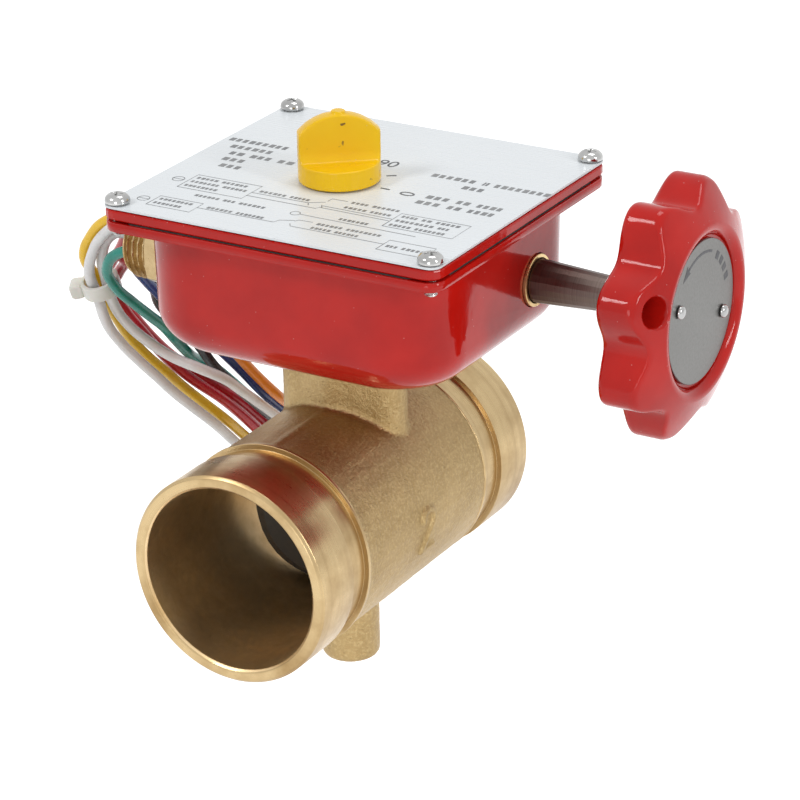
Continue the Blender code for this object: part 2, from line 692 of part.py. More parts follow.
def bowl_rings(inset, bottom, bottom_round, top):
    """Rounded-rectangle rings that run in under the bottom edge and lean out to the top."""
    rings = []
    steps = 4
    for index in range(steps + 1):
        turn = math.pi / 2 * index / steps
        shrink = bottom_round * (1 - math.sin(turn))
        height = bottom + bottom_round * (1 - math.cos(turn))
        rings.append((shrink, height))
    rings.append((0.0, top))
    made = []
    for shrink, height in rings:
        lean = BOWL_DRAFT * (FLANGE_TOP - height) / BOWL_HEIGHT
        edge = inset + shrink + lean
        corner = max(BOWL_CORNER - inset - 0.5 * shrink - lean, BOWL_LEAST_CORNER)
        outline = rounded_rectangle(BOWL_LEFT + edge, BOWL_RIGHT - edge, BOWL_FRONT + edge, BOWL_BACK - edge,
                                    corner)
        made.append([(x, y, height) for x, y in outline])
    return made


def make_gear_housing(finish):
    housing = lofted("gear_housing", bowl_rings(0.0, HOUSING_BOTTOM, BOWL_BOTTOM_ROUND, FLANGE_TOP - OVERLAP),
                     finish)
    flange = prism("flange", rounded_rectangle(HOUSING_LEFT, HOUSING_RIGHT, HOUSING_FRONT, HOUSING_BACK,
                                               FLANGE_CORNER), FLANGE_BOTTOM, FLANGE_TOP)
    join(housing, flange)
    inner_round = max(BOWL_BOTTOM_ROUND - BOWL_WALL, BOWL_LEAST_ROUND)
    cut(housing, lofted("room", bowl_rings(BOWL_WALL, FLOOR_TOP, inner_round, FLANGE_TOP + OVERLAP)))
    add_worm_pedestal(housing)
    add_outer_bush_boss(housing)
    add_nipple_boss(housing)
    groove = gasket_band("groove", GASKET_INSET - GAP, GASKET_WIDTH + 2 * GAP,
                         COVER_BOTTOM - GAP - GASKET_THICKNESS - GAP, FLANGE_TOP + OVERLAP)
    cut(housing, groove)
    cut(housing, cylinder("stem_hole", STEM_RADIUS + GAP, HOUSING_BOTTOM - OVERLAP, FLOOR_TOP + OVERLAP, steps=20))
    for side in (-1, 1):
        hole = cylinder("bolt_hole", NECK_BOLT_DIAMETER / 2 + GAP, HOUSING_BOTTOM - OVERLAP, FLOOR_TOP + OVERLAP,
                        steps=12)
        cut(housing, at(hole, (side * NECK_BOLT_SPACING / 2, 0.0, 0.0)))
    for x, y in screw_places():
        hole = cylinder("screw_hole", SCREW_DIAMETER / 2 + GAP, FLANGE_BOTTOM - OVERLAP, FLANGE_TOP + OVERLAP,
                        steps=12)
        cut(housing, at(hole, (x, y, 0.0)))
    earth_hole = cylinder("earth_hole", EARTH_SCREW_DIAMETER / 2 + GAP, earth_screw_end() - GAP,
                          FLOOR_TOP + OVERLAP, steps=12)
    cut(housing, at(earth_hole, earth_screw_place()))
    return housing


def add_worm_pedestal(housing):
    middle = (JOURNAL_END + WORM_START) / 2 - GAP
    half = INNER_BUSH_LENGTH / 2
    radius = PEDESTAL_WIDTH / 2
    outline = [(WORM_Y + radius, FLOOR_TOP - OVERLAP - WORM_HEIGHT)]
    outline += [(WORM_Y + x, z) for x, z in arc((0.0, 0.0), radius, 0.0, math.pi, 8)]
    outline += [(WORM_Y - radius, FLOOR_TOP - OVERLAP - WORM_HEIGHT)]
    data = bmesh.new()
    face = data.faces.new([data.verts.new((middle - half, y, WORM_HEIGHT + z)) for y, z in outline])
    extruded = bmesh.ops.extrude_face_region(data, geom=[face])
    moved = [part for part in extruded["geom"] if isinstance(part, bmesh.types.BMVert)]
    bmesh.ops.translate(data, verts=moved, vec=(2 * half, 0.0, 0.0))
    join(housing, object_from("pedestal", data))
    bore = cylinder("bore", JOURNAL_RADIUS + INNER_BUSH_WALL + 2 * GAP, middle - half - OVERLAP,
                    middle + half + OVERLAP, steps=20)
    cut(housing, along_x(bore, (0.0, WORM_Y, WORM_HEIGHT)))


def add_outer_bush_boss(housing):
    wall_inner = BOWL_RIGHT - BOWL_WALL
    boss = cylinder("boss", OUTER_BUSH_OUTER + 0.0030, OUTER_BUSH_START, wall_inner + OVERLAP, steps=20)
    join(housing, along_x(boss, (0.0, WORM_Y, WORM_HEIGHT)))
    bore = cylinder("bore", OUTER_BUSH_OUTER + GAP, OUTER_BUSH_START - OVERLAP, BOWL_RIGHT + OVERLAP, steps=20)
    cut(housing, along_x(bore, (0.0, WORM_Y, WORM_HEIGHT)))


def add_nipple_boss(housing):
    boss = cylinder("boss", NIPPLE_BOSS_DIAMETER / 2, BOWL_LEFT + BOWL_WALL - OVERLAP, NIPPLE_INNER_END, steps=20)
    join(housing, along_x(boss, (0.0, NIPPLE_Y, NIPPLE_Z)))
    bore = cylinder("bore", NIPPLE_SHANK_DIAMETER / 2 + GAP, BOWL_LEFT - OVERLAP, NIPPLE_INNER_END + OVERLAP,
                    steps=20)
    cut(housing, along_x(bore, (0.0, NIPPLE_Y, NIPPLE_Z)))


# Cover, gasket and label

def gasket_band(name, inset, width, low, high, finish=None):
    """Flat frame that follows the flange's edge inside the screws' corners."""
    left = HOUSING_LEFT + inset
    right = HOUSING_RIGHT - inset
    front = HOUSING_FRONT + inset
    back = HOUSING_BACK - inset
    notch = 2 * SCREW_INSET + SCREW_DIAMETER / 2 - inset
    outer = notched_outline(left, right, front, back, notch)
    inner = notched_outline(left + width, right - width, front + width, back - width, notch)
    band = prism(name, outer, low, high, finish, smooth=False)
    cut(band, prism("middle", inner, low - OVERLAP, high + OVERLAP, smooth=False))
    return band


def notched_outline(left, right, front, back, notch):
    return [
        (left + notch, front), (right - notch, front), (right, front + notch), (right, back - notch),
        (right - notch, back), (left + notch, back), (left, back - notch), (left, front + notch),
    ]


def screw_places():
    places = []
    for x in (HOUSING_LEFT + SCREW_INSET, HOUSING_RIGHT - SCREW_INSET):
        for y in (HOUSING_FRONT + SCREW_INSET, HOUSING_BACK - SCREW_INSET):
            places.append((x, y))
    return places


def plate(name, edge, corner, low, high, soft, finish):
    """Flat plate with the four screw holes. Its edges are softened by the soft size."""
    levels = [(0.0, low), (0.0, high)]
    if soft > 0.0:
        levels = [(soft, low), (0.0, low + soft), (0.0, high - soft), (0.3 * soft, high - 0.3 * soft), (soft, high)]
    rings = []
    for shrink, height in levels:
        inset = edge + shrink
        outline = rounded_rectangle(HOUSING_LEFT + inset, HOUSING_RIGHT - inset, HOUSING_FRONT + inset,
                                    HOUSING_BACK - inset, corner - shrink)
        rings.append([(x, y, height) for x, y in outline])
    made = lofted(name, rings, finish)
    for x, y in screw_places():
        hole = cylinder("hole", SCREW_DIAMETER / 2 + GAP, low - OVERLAP, high + OVERLAP, steps=12)
        cut(made, at(hole, (x, y, 0.0)))
    return made


def make_cover(finish):
    cover = plate("cover_plate", 0.0, COVER_CORNER, COVER_BOTTOM, COVER_TOP, COVER_EDGE, finish)
    boss = cylinder("boss", COVER_BOSS_DIAMETER / 2, COVER_BOTTOM - COVER_BOSS_HEIGHT, COVER_BOTTOM + OVERLAP,
                    steps=20)
    join(cover, boss)
    cut(cover, cylinder("seal_seat", STEM_BORE, COVER_BOTTOM - COVER_BOSS_HEIGHT - OVERLAP, seal_top() + GAP,
                        steps=20))
    cut(cover, cylinder("stem_hole", STEM_RADIUS + GAP, COVER_BOTTOM - OVERLAP, COVER_TOP + OVERLAP, steps=20))
    return cover


def seal_top():
    return COVER_BOTTOM + COVER_THICKNESS * 0.3


def make_cover_seal(finish):
    inner = STEM_RADIUS + GAP
    outer = STEM_BORE - GAP
    low = COVER_BOTTOM - COVER_BOSS_HEIGHT + GAP
    high = seal_top()
    lip = 0.0004
    return revolved("cover_stem_seal", [
        (inner, low + lip), (inner + lip, low), (outer, low), (outer, high), (inner + lip, high),
        (inner, high - lip),
    ], finish, steps=20)


def make_label_plate(finish):
    label = plate("label_plate", 0.0003, LABEL_CORNER, LABEL_BOTTOM, LABEL_TOP, 0.0, finish)
    cut(label, cylinder("hole", LABEL_HOLE_DIAMETER / 2, LABEL_BOTTOM - OVERLAP, LABEL_TOP + OVERLAP, steps=20))
    return label


def make_cover_screw(name, x, y, finish):
    seat = LABEL_TOP + GAP
    top = seat + SCREW_HEAD_HEIGHT
    head = SCREW_HEAD_DIAMETER / 2
    shank = SCREW_DIAMETER / 2
    end = seat - SCREW_LENGTH
    screw = revolved(name, [
        (0.0, end), (shank - 0.0004, end), (shank, end + 0.0004), (shank, seat), (head, seat),
        (head, seat + SCREW_HEAD_HEIGHT * 0.35), (head * 0.86, seat + SCREW_HEAD_HEIGHT * 0.72),
        (head * 0.5, top - SCREW_HEAD_HEIGHT * 0.05), (0.0, top),
    ], finish, steps=14)
    return at(screw, (x, y, 0.0))


# Worm drive

def make_worm_gear(finish):
    """Helical wheel. Its teeth lean by the worm's lead, so they follow the thread across the face."""
    lean_per_metre = 1.0 / (WORM_PITCH_RADIUS * GEAR_TEETH)
    rings = []
    for index in range(3):
        height = GEAR_BOTTOM + GEAR_FACE * index / 2
        twist = (height - WORM_HEIGHT) * lean_per_metre
        rings.append([(x, y, height) for x, y in gear_outline(twist)])
    gear = lofted("worm_gear", rings, finish)
    join(gear, cylinder("hub", GEAR_HUB_DIAMETER / 2, FLOOR_TOP + GAP, GEAR_BOTTOM + OVERLAP, steps=20))
    cut(gear, cylinder("bore", STEM_RADIUS + GAP, FLOOR_TOP - OVERLAP, GEAR_TOP + OVERLAP, steps=20))
    key = key_size()
    keyway = box("keyway", (0.0, -key["half"] - GAP, FLOOR_TOP - OVERLAP),
                 (key["top_x"] + GAP, key["half"] + GAP, GEAR_TOP + OVERLAP))
    cut(gear, turned(keyway, REST_TURN))
    return gear


def make_gear_key(finish):
    key = key_size()
    made = box("gear_key", (key["bottom_x"], -key["half"], key["low"]), (key["top_x"], key["half"], key["high"]),
               finish)
    return turned(made, REST_TURN)


def make_gear_circlip(finish):
    low = GEAR_TOP + 2 * GAP
    inner = STEM_RADIUS - CIRCLIP_DEPTH + GAP
    clip = prism("gear_circlip", circlip_outline(inner, STEM_RADIUS + CIRCLIP_RISE), low,
                 low + CIRCLIP_THICKNESS, finish)
    return turned(clip, REST_TURN)


def worm_thread():
    """Right-hand trapezoid thread, swept round X. A crest faces the gear at X = 0."""
    root = WORM_PITCH_RADIUS - DEDENDUM
    tip = WORM_PITCH_RADIUS + ADDENDUM
    slope = math.tan(math.radians(20.0))
    sunk = 0.0006
    section = (
        (root - sunk, -TOOTH_HALF - (DEDENDUM + sunk) * slope), (tip, -TOOTH_HALF + ADDENDUM * slope),
        (tip, TOOTH_HALF - ADDENDUM * slope), (root - sunk, TOOTH_HALF + (DEDENDUM + sunk) * slope),
    )
    per_turn = 12
    turns = int((WORM_LENGTH - 2 * TOOTH_HALF) / WORM_LEAD) - 1
    half_steps = turns * per_turn // 2
    data = bmesh.new()
    rows = []
    for index in range(-half_steps, half_steps + 1):
        turn = 2 * math.pi * index / per_turn
        middle = WORM_LEAD * index / per_turn
        rows.append([
            data.verts.new((middle + offset, -radius * math.cos(turn), -radius * math.sin(turn)))
            for radius, offset in section
        ])
    for before, after in zip(rows, rows[1:]):
        for index in range(4):
            following = (index + 1) % 4
            data.faces.new((before[index], before[following], after[following], after[index]))
    data.faces.new(rows[0])
    data.faces.new(rows[-1])
    return object_from("thread", data)


def make_worm_shaft(finish):
    root = WORM_PITCH_RADIUS - DEDENDUM
    journal = JOURNAL_RADIUS
    end = SHAFT_END_DIAMETER / 2
    ring_half = SHAFT_RING_SECTION / 2 + GAP
    ring_x = (OUTER_BUSH_START + OUTER_BUSH_END) / 2
    ring_floor = SHAFT_RADIUS - SHAFT_RING_SECTION - GAP
    clip_floor = SHAFT_RADIUS - CIRCLIP_DEPTH
    clip_high = CLIP_X + CIRCLIP_THICKNESS + GAP
    shaft = revolved("worm_shaft", [
        (0.0, JOURNAL_END), (journal - 0.0004, JOURNAL_END), (journal, JOURNAL_END + 0.0004),
        (journal, WORM_START), (root, WORM_START), (root, -WORM_START), (SHAFT_RADIUS, -WORM_START + 0.0025),
        (SHAFT_RADIUS, CLIP_X - GAP), (clip_floor, CLIP_X - GAP), (clip_floor, clip_high),
        (SHAFT_RADIUS, clip_high), (SHAFT_RADIUS, ring_x - ring_half), (ring_floor, ring_x - ring_half),
        (ring_floor, ring_x + ring_half), (SHAFT_RADIUS, ring_x + ring_half), (SHAFT_RADIUS, SHAFT_TAPER_START),
        (end, WHEEL_BACK - WHEEL_HUB_LENGTH - OVERLAP), (end, SHAFT_END - 0.0004), (end - 0.0004, SHAFT_END),
        (0.0, SHAFT_END),
    ], finish, steps=20)
    along_x(shaft, (0.0, WORM_Y, WORM_HEIGHT))
    join(shaft, at(worm_thread(), (0.0, WORM_Y, WORM_HEIGHT)))
    pin_hole = cylinder("pin_hole", WHEEL_PIN_DIAMETER / 2 + GAP, -WHEEL_HUB_DIAMETER, WHEEL_HUB_DIAMETER,
                        steps=12)
    cut(shaft, at(pin_hole, (wheel_pin_x(), WORM_Y, WORM_HEIGHT)))
    return shaft


def wheel_pin_x():
    return WHEEL_BACK - WHEEL_HUB_LENGTH / 2


def make_shaft_bushes(finish):
    inner = SHAFT_RADIUS + GAP
    outer = tube("outer_shaft_bush", inner, OUTER_BUSH_OUTER, OUTER_BUSH_START, OUTER_BUSH_END, finish,
                 steps=28, chamfer=0.0002)
    along_x(outer, (0.0, WORM_Y, WORM_HEIGHT))
    middle = (JOURNAL_END + WORM_START) / 2 - GAP
    half = INNER_BUSH_LENGTH / 2
    inside = tube("inner_shaft_bush", JOURNAL_RADIUS + GAP, JOURNAL_RADIUS + GAP + INNER_BUSH_WALL,
                  middle - half, middle + half, finish, steps=20)
    along_x(inside, (0.0, WORM_Y, WORM_HEIGHT))
    return outer, inside


def make_shaft_ring(finish):
    middle = (OUTER_BUSH_START + OUTER_BUSH_END) / 2
    ring = o_ring("shaft_ring", SHAFT_RADIUS - SHAFT_RING_SECTION, SHAFT_RING_SECTION, middle, finish)
    return along_x(ring, (0.0, WORM_Y, WORM_HEIGHT))


def make_shaft_circlip(finish):
    inner = SHAFT_RADIUS - CIRCLIP_DEPTH + GAP
    clip = prism("shaft_circlip", circlip_outline(inner, SHAFT_RADIUS + CIRCLIP_RISE), CLIP_X,
                 CLIP_X + CIRCLIP_THICKNESS, finish)
    return along_x(clip, (0.0, WORM_Y, WORM_HEIGHT))


# Handwheel

def wheel_ring(height, mean, lobe, steps_per_lobe=8):
    """One ring of the wheel, in the frame where Z is the shaft and X points down."""
    count = WHEEL_LOBES * steps_per_lobe
    points = []
    for index in range(count):
        turn = 2 * math.pi * index / count
        radius = mean + lobe * math.cos(WHEEL_LOBES * (turn - WHEEL_LOBE_PHASE))
        points.append((-radius * math.sin(turn), radius * math.cos(turn), height))
    return points


def make_handwheel(finish):
    mean = WHEEL_MEAN_RADIUS
    lobe = WHEEL_LOBE_HEIGHT
    front = WHEEL_THICKNESS
    levels = (
        (0.0, mean - 0.0012, lobe * 0.9), (0.0009, mean, lobe), (WHEEL_RIM - 0.0010, mean, lobe),
        (WHEEL_RIM + 0.0012, mean - 0.0010, lobe * 0.85),
        (WHEEL_RIM + (front - WHEEL_RIM) * 0.55, mean - 0.0036, lobe * 0.45),
        (front - 0.0008, WHEEL_LIP_RADIUS + 0.0018, lobe * 0.08), (front, WHEEL_LIP_RADIUS, 0.0),
    )
    wheel = lofted("handwheel", [wheel_ring(*level) for level in levels], finish)
    along_x(wheel, (WHEEL_BACK, WORM_Y, WORM_HEIGHT))
    hub = cylinder("hub", WHEEL_HUB_DIAMETER / 2, -WHEEL_HUB_LENGTH, OVERLAP, steps=20)
    join(wheel, along_x(hub, (WHEEL_BACK, WORM_Y, WORM_HEIGHT)))
    recess = revolved("recess", [
        (0.0, front - WHEEL_RECESS_DEPTH), (WHEEL_RECESS_RADIUS, front - WHEEL_RECESS_DEPTH),
        (WHEEL_RECESS_RADIUS + 0.0004, front - 0.0010), (WHEEL_LIP_RADIUS - 0.0008, front + 0.0004),
        (0.0, front + 0.0004),
    ], steps=40)
    cut(wheel, along_x(recess, (WHEEL_BACK, WORM_Y, WORM_HEIGHT)))
    bore = cylinder("bore", SHAFT_END_DIAMETER / 2 + GAP, -WHEEL_HUB_LENGTH - OVERLAP,
                    SHAFT_END + GAP - WHEEL_BACK, steps=20)
    cut(wheel, along_x(bore, (WHEEL_BACK, WORM_Y, WORM_HEIGHT)))
    hole = cylinder("hole", WHEEL_HOLE_DIAMETER / 2, -OVERLAP, front + OVERLAP, steps=20)
    cut(wheel, along_x(hole, wheel_point(WHEEL_BACK, WHEEL_HOLE_RADIUS, wheel_hole_turn())))
    pin_hole = cylinder("pin_hole", WHEEL_PIN_DIAMETER / 2 + GAP, -WHEEL_HUB_DIAMETER, WHEEL_HUB_DIAMETER,
                        steps=12)
    cut(wheel, at(pin_hole, (wheel_pin_x(), WORM_Y, WORM_HEIGHT)))
    for turn in rivet_turns():
        shank = cylinder("hole", RIVET_SHANK_DIAMETER / 2 + GAP, -RIVET_SHANK_LENGTH - GAP, OVERLAP, steps=12)
        cut(wheel, along_x(shank, wheel_point(RECESS_FLOOR, RIVET_RADIUS_AT, turn)))
    return wheel


def wheel_point(x, radius, turn):
    return (x, WORM_Y + radius * math.cos(turn), WORM_HEIGHT + radius * math.sin(turn))


def wheel_hole_turn():
    return WHEEL_LOBE_PHASE + 3 * 2 * math.pi / WHEEL_LOBES


def rivet_turns():
    return (wheel_hole_turn(), wheel_hole_turn() + math.pi)


def make_wheel_pin(finish):
    half = WHEEL_HUB_DIAMETER / 2
    pin = cylinder("handwheel_pin", WHEEL_PIN_DIAMETER / 2, -half, half, finish, steps=12, chamfer=0.0003)
    return at(pin, (wheel_pin_x(), WORM_Y, WORM_HEIGHT))


def make_wheel_label(finish):
    low = RECESS_FLOOR + GAP
    label = cylinder("wheel_label", WHEEL_LABEL_RADIUS, 0.0, WHEEL_LABEL_THICKNESS, finish, steps=32)
    along_x(label, (low, WORM_Y, WORM_HEIGHT))
    for turn in rivet_turns():
        hole = cylinder("hole", RIVET_SHANK_DIAMETER / 2 + GAP, -OVERLAP, WHEEL_LABEL_THICKNESS + OVERLAP, steps=12)
        cut(label, along_x(hole, wheel_point(low, RIVET_RADIUS_AT, turn)))
    return label


def make_label_rivet(name, turn, finish):
    seat = RECESS_FLOOR + 2 * GAP + WHEEL_LABEL_THICKNESS
    shank = RIVET_SHANK_DIAMETER / 2
    head = RIVET_HEAD_DIAMETER / 2
    low = RECESS_FLOOR - RIVET_SHANK_LENGTH - seat
    rivet = revolved(name, [
        (0.0, low), (shank, low), (shank, 0.0), (head, 0.0), (head * 0.93, RIVET_HEAD_HEIGHT * 0.4),
        (head * 0.6, RIVET_HEAD_HEIGHT * 0.85), (0.0, RIVET_HEAD_HEIGHT),
    ], finish, steps=12)
    return along_x(rivet, wheel_point(seat, RIVET_RADIUS_AT, turn))


# Indicator knob

def make_indicator_knob(finish):
    """Turned blank with a domed top. Both sides are milled away and leave the pointer fin."""
    radius = KNOB_DIAMETER / 2
    rise = KNOB_HEIGHT - KNOB_SHOULDER_HEIGHT
    dome = (radius * radius + rise * rise) / (2 * rise)
    profile = [(0.0, 0.0), (radius - 0.0003, 0.0), (radius, 0.0003), (radius, KNOB_SHOULDER_HEIGHT)]
    for index in range(1, 5):
        across = radius * (1 - index / 5)
        profile.append((across, KNOB_HEIGHT - dome + math.sqrt(dome * dome - across * across)))
    profile.append((0.0, KNOB_HEIGHT))
    knob = revolved("indicator_knob", profile, finish, steps=36)
    pip = cylinder("pip", KNOB_PIP_DIAMETER / 2, KNOB_HEIGHT - 0.002, KNOB_HEIGHT + KNOB_PIP_HEIGHT, steps=12)
    join(knob, pip)
    reach = radius + 0.002
    for side in (-1, 1):
        face = KNOB_FIN_THICKNESS / 2
        foot = arc((face + KNOB_FILLET, KNOB_BASE_HEIGHT + KNOB_FILLET), KNOB_FILLET, math.pi,
                   3 * math.pi / 2, 5)
        outline = [(face, KNOB_HEIGHT + 0.002)] + foot
        outline += [(reach, KNOB_BASE_HEIGHT), (reach, KNOB_HEIGHT + 0.002)]
        cutter = prism("side", [(side * across, height) for across, height in outline], -reach, reach)
        cutter.rotation_euler = (math.pi / 2, 0.0, math.pi / 2)
        cut(knob, cutter)
    tip_room = STEM_TIP_LENGTH + COVER_TOP - GAP - KNOB_BOTTOM + GAP
    cut(knob, cylinder("bore", STEM_TIP_DIAMETER / 2 + GAP, -OVERLAP, tip_room, steps=20))
    screw_hole = cylinder("screw_hole", SET_SCREW_DIAMETER / 2 + GAP, 0.0, radius + OVERLAP, steps=12)
    screw_hole.rotation_euler = (-math.pi / 2, 0.0, 0.0)
    screw_hole.location = (0.0, 0.0, knob_screw_height())
    cut(knob, screw_hole)
    return turned(knob, REST_TURN, (0.0, 0.0, KNOB_BOTTOM))


def knob_screw_height():
    return KNOB_BASE_HEIGHT * 0.48


def make_indicator_screw(finish):
    inner = STEM_TIP_DIAMETER / 2 + GAP
    screw = cylinder("indicator_set_screw", SET_SCREW_DIAMETER / 2, inner, KNOB_DIAMETER / 2 - 0.0008, finish,
                     steps=12, chamfer=0.0003)
    screw.matrix_world = (
        Matrix.Translation((0.0, 0.0, KNOB_BOTTOM + knob_screw_height()))
        @ Matrix.Rotation(REST_TURN, 4, "Z") @ Matrix.Rotation(-math.pi / 2, 4, "X")
    )
    return screw


# Switch cam, switches and bracket

def make_switch_cam(finish):
    """Two thin lobes on one sleeve, one for each switch. Each crest comes past its plunger at one limit."""
    steps = 32
    half = CAM_HEIGHT / 2
    layers = []
    for low, high, centre in ((0.0, half, math.pi + REST_TURN), (half, CAM_HEIGHT, math.pi / 2 + REST_TURN)):
        ring = []
        for index in range(steps):
            turn = 2 * math.pi * index / steps
            away = math.cos(turn - centre)
            crest = max(0.0, away) ** 6
            radius = CAM_RADIUS + CAM_LOBE * crest
            ring.append((radius * math.cos(turn), radius * math.sin(turn)))
        layers.append((low, high, ring))
    cam = prism("switch_cam", layers[0][2], layers[0][0], layers[0][1] + 0.0001, finish)
    upper = prism("upper", layers[1][2], layers[1][0], layers[1][1])
    join(cam, upper)
    cut(cam, cylinder("bore", STEM_RADIUS + GAP, -OVERLAP, CAM_HEIGHT + OVERLAP, steps=20))
    hole = cylinder("screw_hole", SET_SCREW_DIAMETER / 2 + GAP, 0.0, CAM_RADIUS + 0.002, steps=12)
    cut(cam, along_x(hole, (0.0, 0.0, CAM_HEIGHT / 2)))
    return at(cam, (0.0, 0.0, CAM_BOTTOM))


def make_cam_screw(finish):
    screw = cylinder("cam_set_screw", SET_SCREW_DIAMETER / 2, STEM_RADIUS + GAP, CAM_RADIUS - 0.0004, finish,
                     steps=12, chamfer=0.0003)
    return along_x(screw, (0.0, 0.0, CAM_BOTTOM + CAM_HEIGHT / 2))


def switch_bottom(index):
    return SHELF_TOP + GAP + index * (SWITCH_HEIGHT + GAP)


def switch_screw_places():
    x = -SWITCH_FACE - SWITCH_DEPTH * 0.65
    half = SWITCH_SCREW_SPACING / 2
    return ((x, -SWITCH_OFFSET - half), (x, -SWITCH_OFFSET + half))


def make_switch(name, index, finish):
    low = switch_bottom(index)
    high = low + SWITCH_HEIGHT
    front = -SWITCH_OFFSET - SWITCH_WIDTH / 2
    back = -SWITCH_OFFSET + SWITCH_WIDTH / 2
    body = box(name, (-SWITCH_BACK, front, low), (-SWITCH_FACE, back, high), finish)
    middle = (low + high) / 2
    for place in (-1, 0, 1):
        y = -SWITCH_OFFSET + place * TAG_SPACING
        tag = box("tag", (-SWITCH_BACK - TAG_LENGTH, y - TAG_WIDTH / 2, middle - TAG_THICKNESS / 2),
                  (-SWITCH_BACK + OVERLAP, y + TAG_WIDTH / 2, middle + TAG_THICKNESS / 2))
        join(body, tag)
    room = cylinder("room", PLUNGER_DIAMETER / 2 + GAP, -plunger_back() - PLUNGER_TRAVEL - GAP,
                    -SWITCH_FACE + OVERLAP, steps=12)
    cut(body, along_x(room, (0.0, 0.0, middle)))
    for x, y in switch_screw_places():
        hole = cylinder("hole", SWITCH_SCREW_DIAMETER / 2 + GAP, low - OVERLAP, high + OVERLAP, steps=12)
        cut(body, at(hole, (x, y, 0.0)))
    return body


def plunger_back():
    return SWITCH_FACE + PLUNGER_GRIP


def make_plunger(name, index, finish):
    tip = -(CAM_RADIUS + CAM_LOBE + GAP)
    middle = switch_bottom(index) + SWITCH_HEIGHT / 2
    length = plunger_back() + tip
    plunger = revolved(name, [
        (0.0, -length), (PLUNGER_DIAMETER / 2, -length), (PLUNGER_DIAMETER / 2, -0.0006),
        (PLUNGER_DIAMETER / 2 - 0.0005, 0.0), (0.0, 0.0),
    ], finish, steps=12)
    return along_x(plunger, (tip, 0.0, middle))


def make_bracket(finish):
    """Folded strip: a foot on the floor, a leg and a shelf under the switches."""
    front = -SWITCH_OFFSET - SWITCH_WIDTH / 2
    back = -SWITCH_OFFSET + SWITCH_WIDTH / 2
    thick = BRACKET_THICKNESS
    leg = -SWITCH_BACK - 0.0005
    floor = FLOOR_TOP + GAP
    outline = [
        (leg - BRACKET_FOOT, floor), (leg, floor), (leg, SHELF_TOP - thick), (-SWITCH_FACE, SHELF_TOP - thick),
        (-SWITCH_FACE, SHELF_TOP), (leg - thick, SHELF_TOP), (leg - thick, floor + thick),
        (leg - BRACKET_FOOT, floor + thick),
    ]
    bracket = prism("switch_bracket", outline, -back, -front, finish, smooth=False)
    bracket.rotation_euler = (math.pi / 2, 0.0, 0.0)
    for x, y in switch_screw_places():
        hole = cylinder("hole", SWITCH_SCREW_DIAMETER / 2 + GAP, SHELF_TOP - 0.005, SHELF_TOP + OVERLAP, steps=12)
        cut(bracket, at(hole, (x, y, 0.0)))
    x, y, _ = earth_screw_place()
    hole = cylinder("hole", EARTH_SCREW_DIAMETER / 2 + GAP, floor - OVERLAP, floor + thick + OVERLAP, steps=12)
    cut(bracket, at(hole, (x, y, 0.0)))
    return bracket


def earth_screw_place():
    return (-SWITCH_BACK - 0.0005 - BRACKET_THICKNESS - EARTH_SCREW_HEAD_DIAMETER / 2 - GAP, -SWITCH_OFFSET, 0.0)


def earth_screw_end():
    return FLOOR_TOP + 2 * GAP + BRACKET_THICKNESS - EARTH_SCREW_LENGTH


def make_earth_screw(finish):
    seat = FLOOR_TOP + 2 * GAP + BRACKET_THICKNESS
    head = EARTH_SCREW_HEAD_DIAMETER / 2
    shank = EARTH_SCREW_DIAMETER / 2
    top = seat + EARTH_SCREW_HEAD_HEIGHT
    screw = revolved("earth_screw", [
        (0.0, earth_screw_end()), (shank, earth_screw_end()), (shank, seat), (head, seat),
        (head, top - 0.0006), (head * 0.7, top), (0.0, top),
    ], finish, steps=12)
    return at(screw, earth_screw_place())


def make_switch_screw(name, place, finish):
    seat = switch_bottom(1) + SWITCH_HEIGHT + GAP
    top = seat + SWITCH_SCREW_HEAD_HEIGHT
    head = SWITCH_SCREW_HEAD_DIAMETER / 2
    shank = SWITCH_SCREW_DIAMETER / 2
    end = SHELF_TOP - BRACKET_THICKNESS - 0.0010
    screw = revolved(name, [
        (0.0, end), (shank, end), (shank, seat), (head, seat), (head, top - 0.0005), (head * 0.7, top),
        (0.0, top),
    ], finish, steps=12)
    return at(screw, (place[0], place[1], 0.0))


# Conduit nipple

def make_conduit_nipple(finish):
    hex_start = NIPPLE_END + NIPPLE_THREAD_LENGTH
    hex_end = BOWL_LEFT - GAP
    thread = NIPPLE_THREAD_DIAMETER / 2
    shank = NIPPLE_SHANK_DIAMETER / 2
    nipple = revolved("conduit_nipple", [
        (0.0, NIPPLE_END), (thread - 0.0007, NIPPLE_END), (thread, NIPPLE_END + 0.0007),
        (thread, hex_start + OVERLAP), (shank, hex_start + OVERLAP), (shank, NIPPLE_INNER_END),
        (0.0, NIPPLE_INNER_END),
    ], finish, steps=32)
    along_x(nipple, (0.0, NIPPLE_Y, NIPPLE_Z))
    corner = NIPPLE_HEX_FLATS / math.sqrt(3.0)
    hexagon = [
        (corner * math.cos(math.pi / 3 * index), corner * math.sin(math.pi / 3 * index)) for index in range(6)
    ]
    nut = prism("hexagon", hexagon, hex_start, hex_end, smooth=False)
    join(nipple, along_x(nut, (0.0, NIPPLE_Y, NIPPLE_Z)))
    bore = cylinder("bore", NIPPLE_BORE / 2, NIPPLE_END - OVERLAP, NIPPLE_INNER_END + OVERLAP, steps=20)
    cut(nipple, along_x(bore, (0.0, NIPPLE_Y, NIPPLE_Z)))
    return nipple


# Lead wires

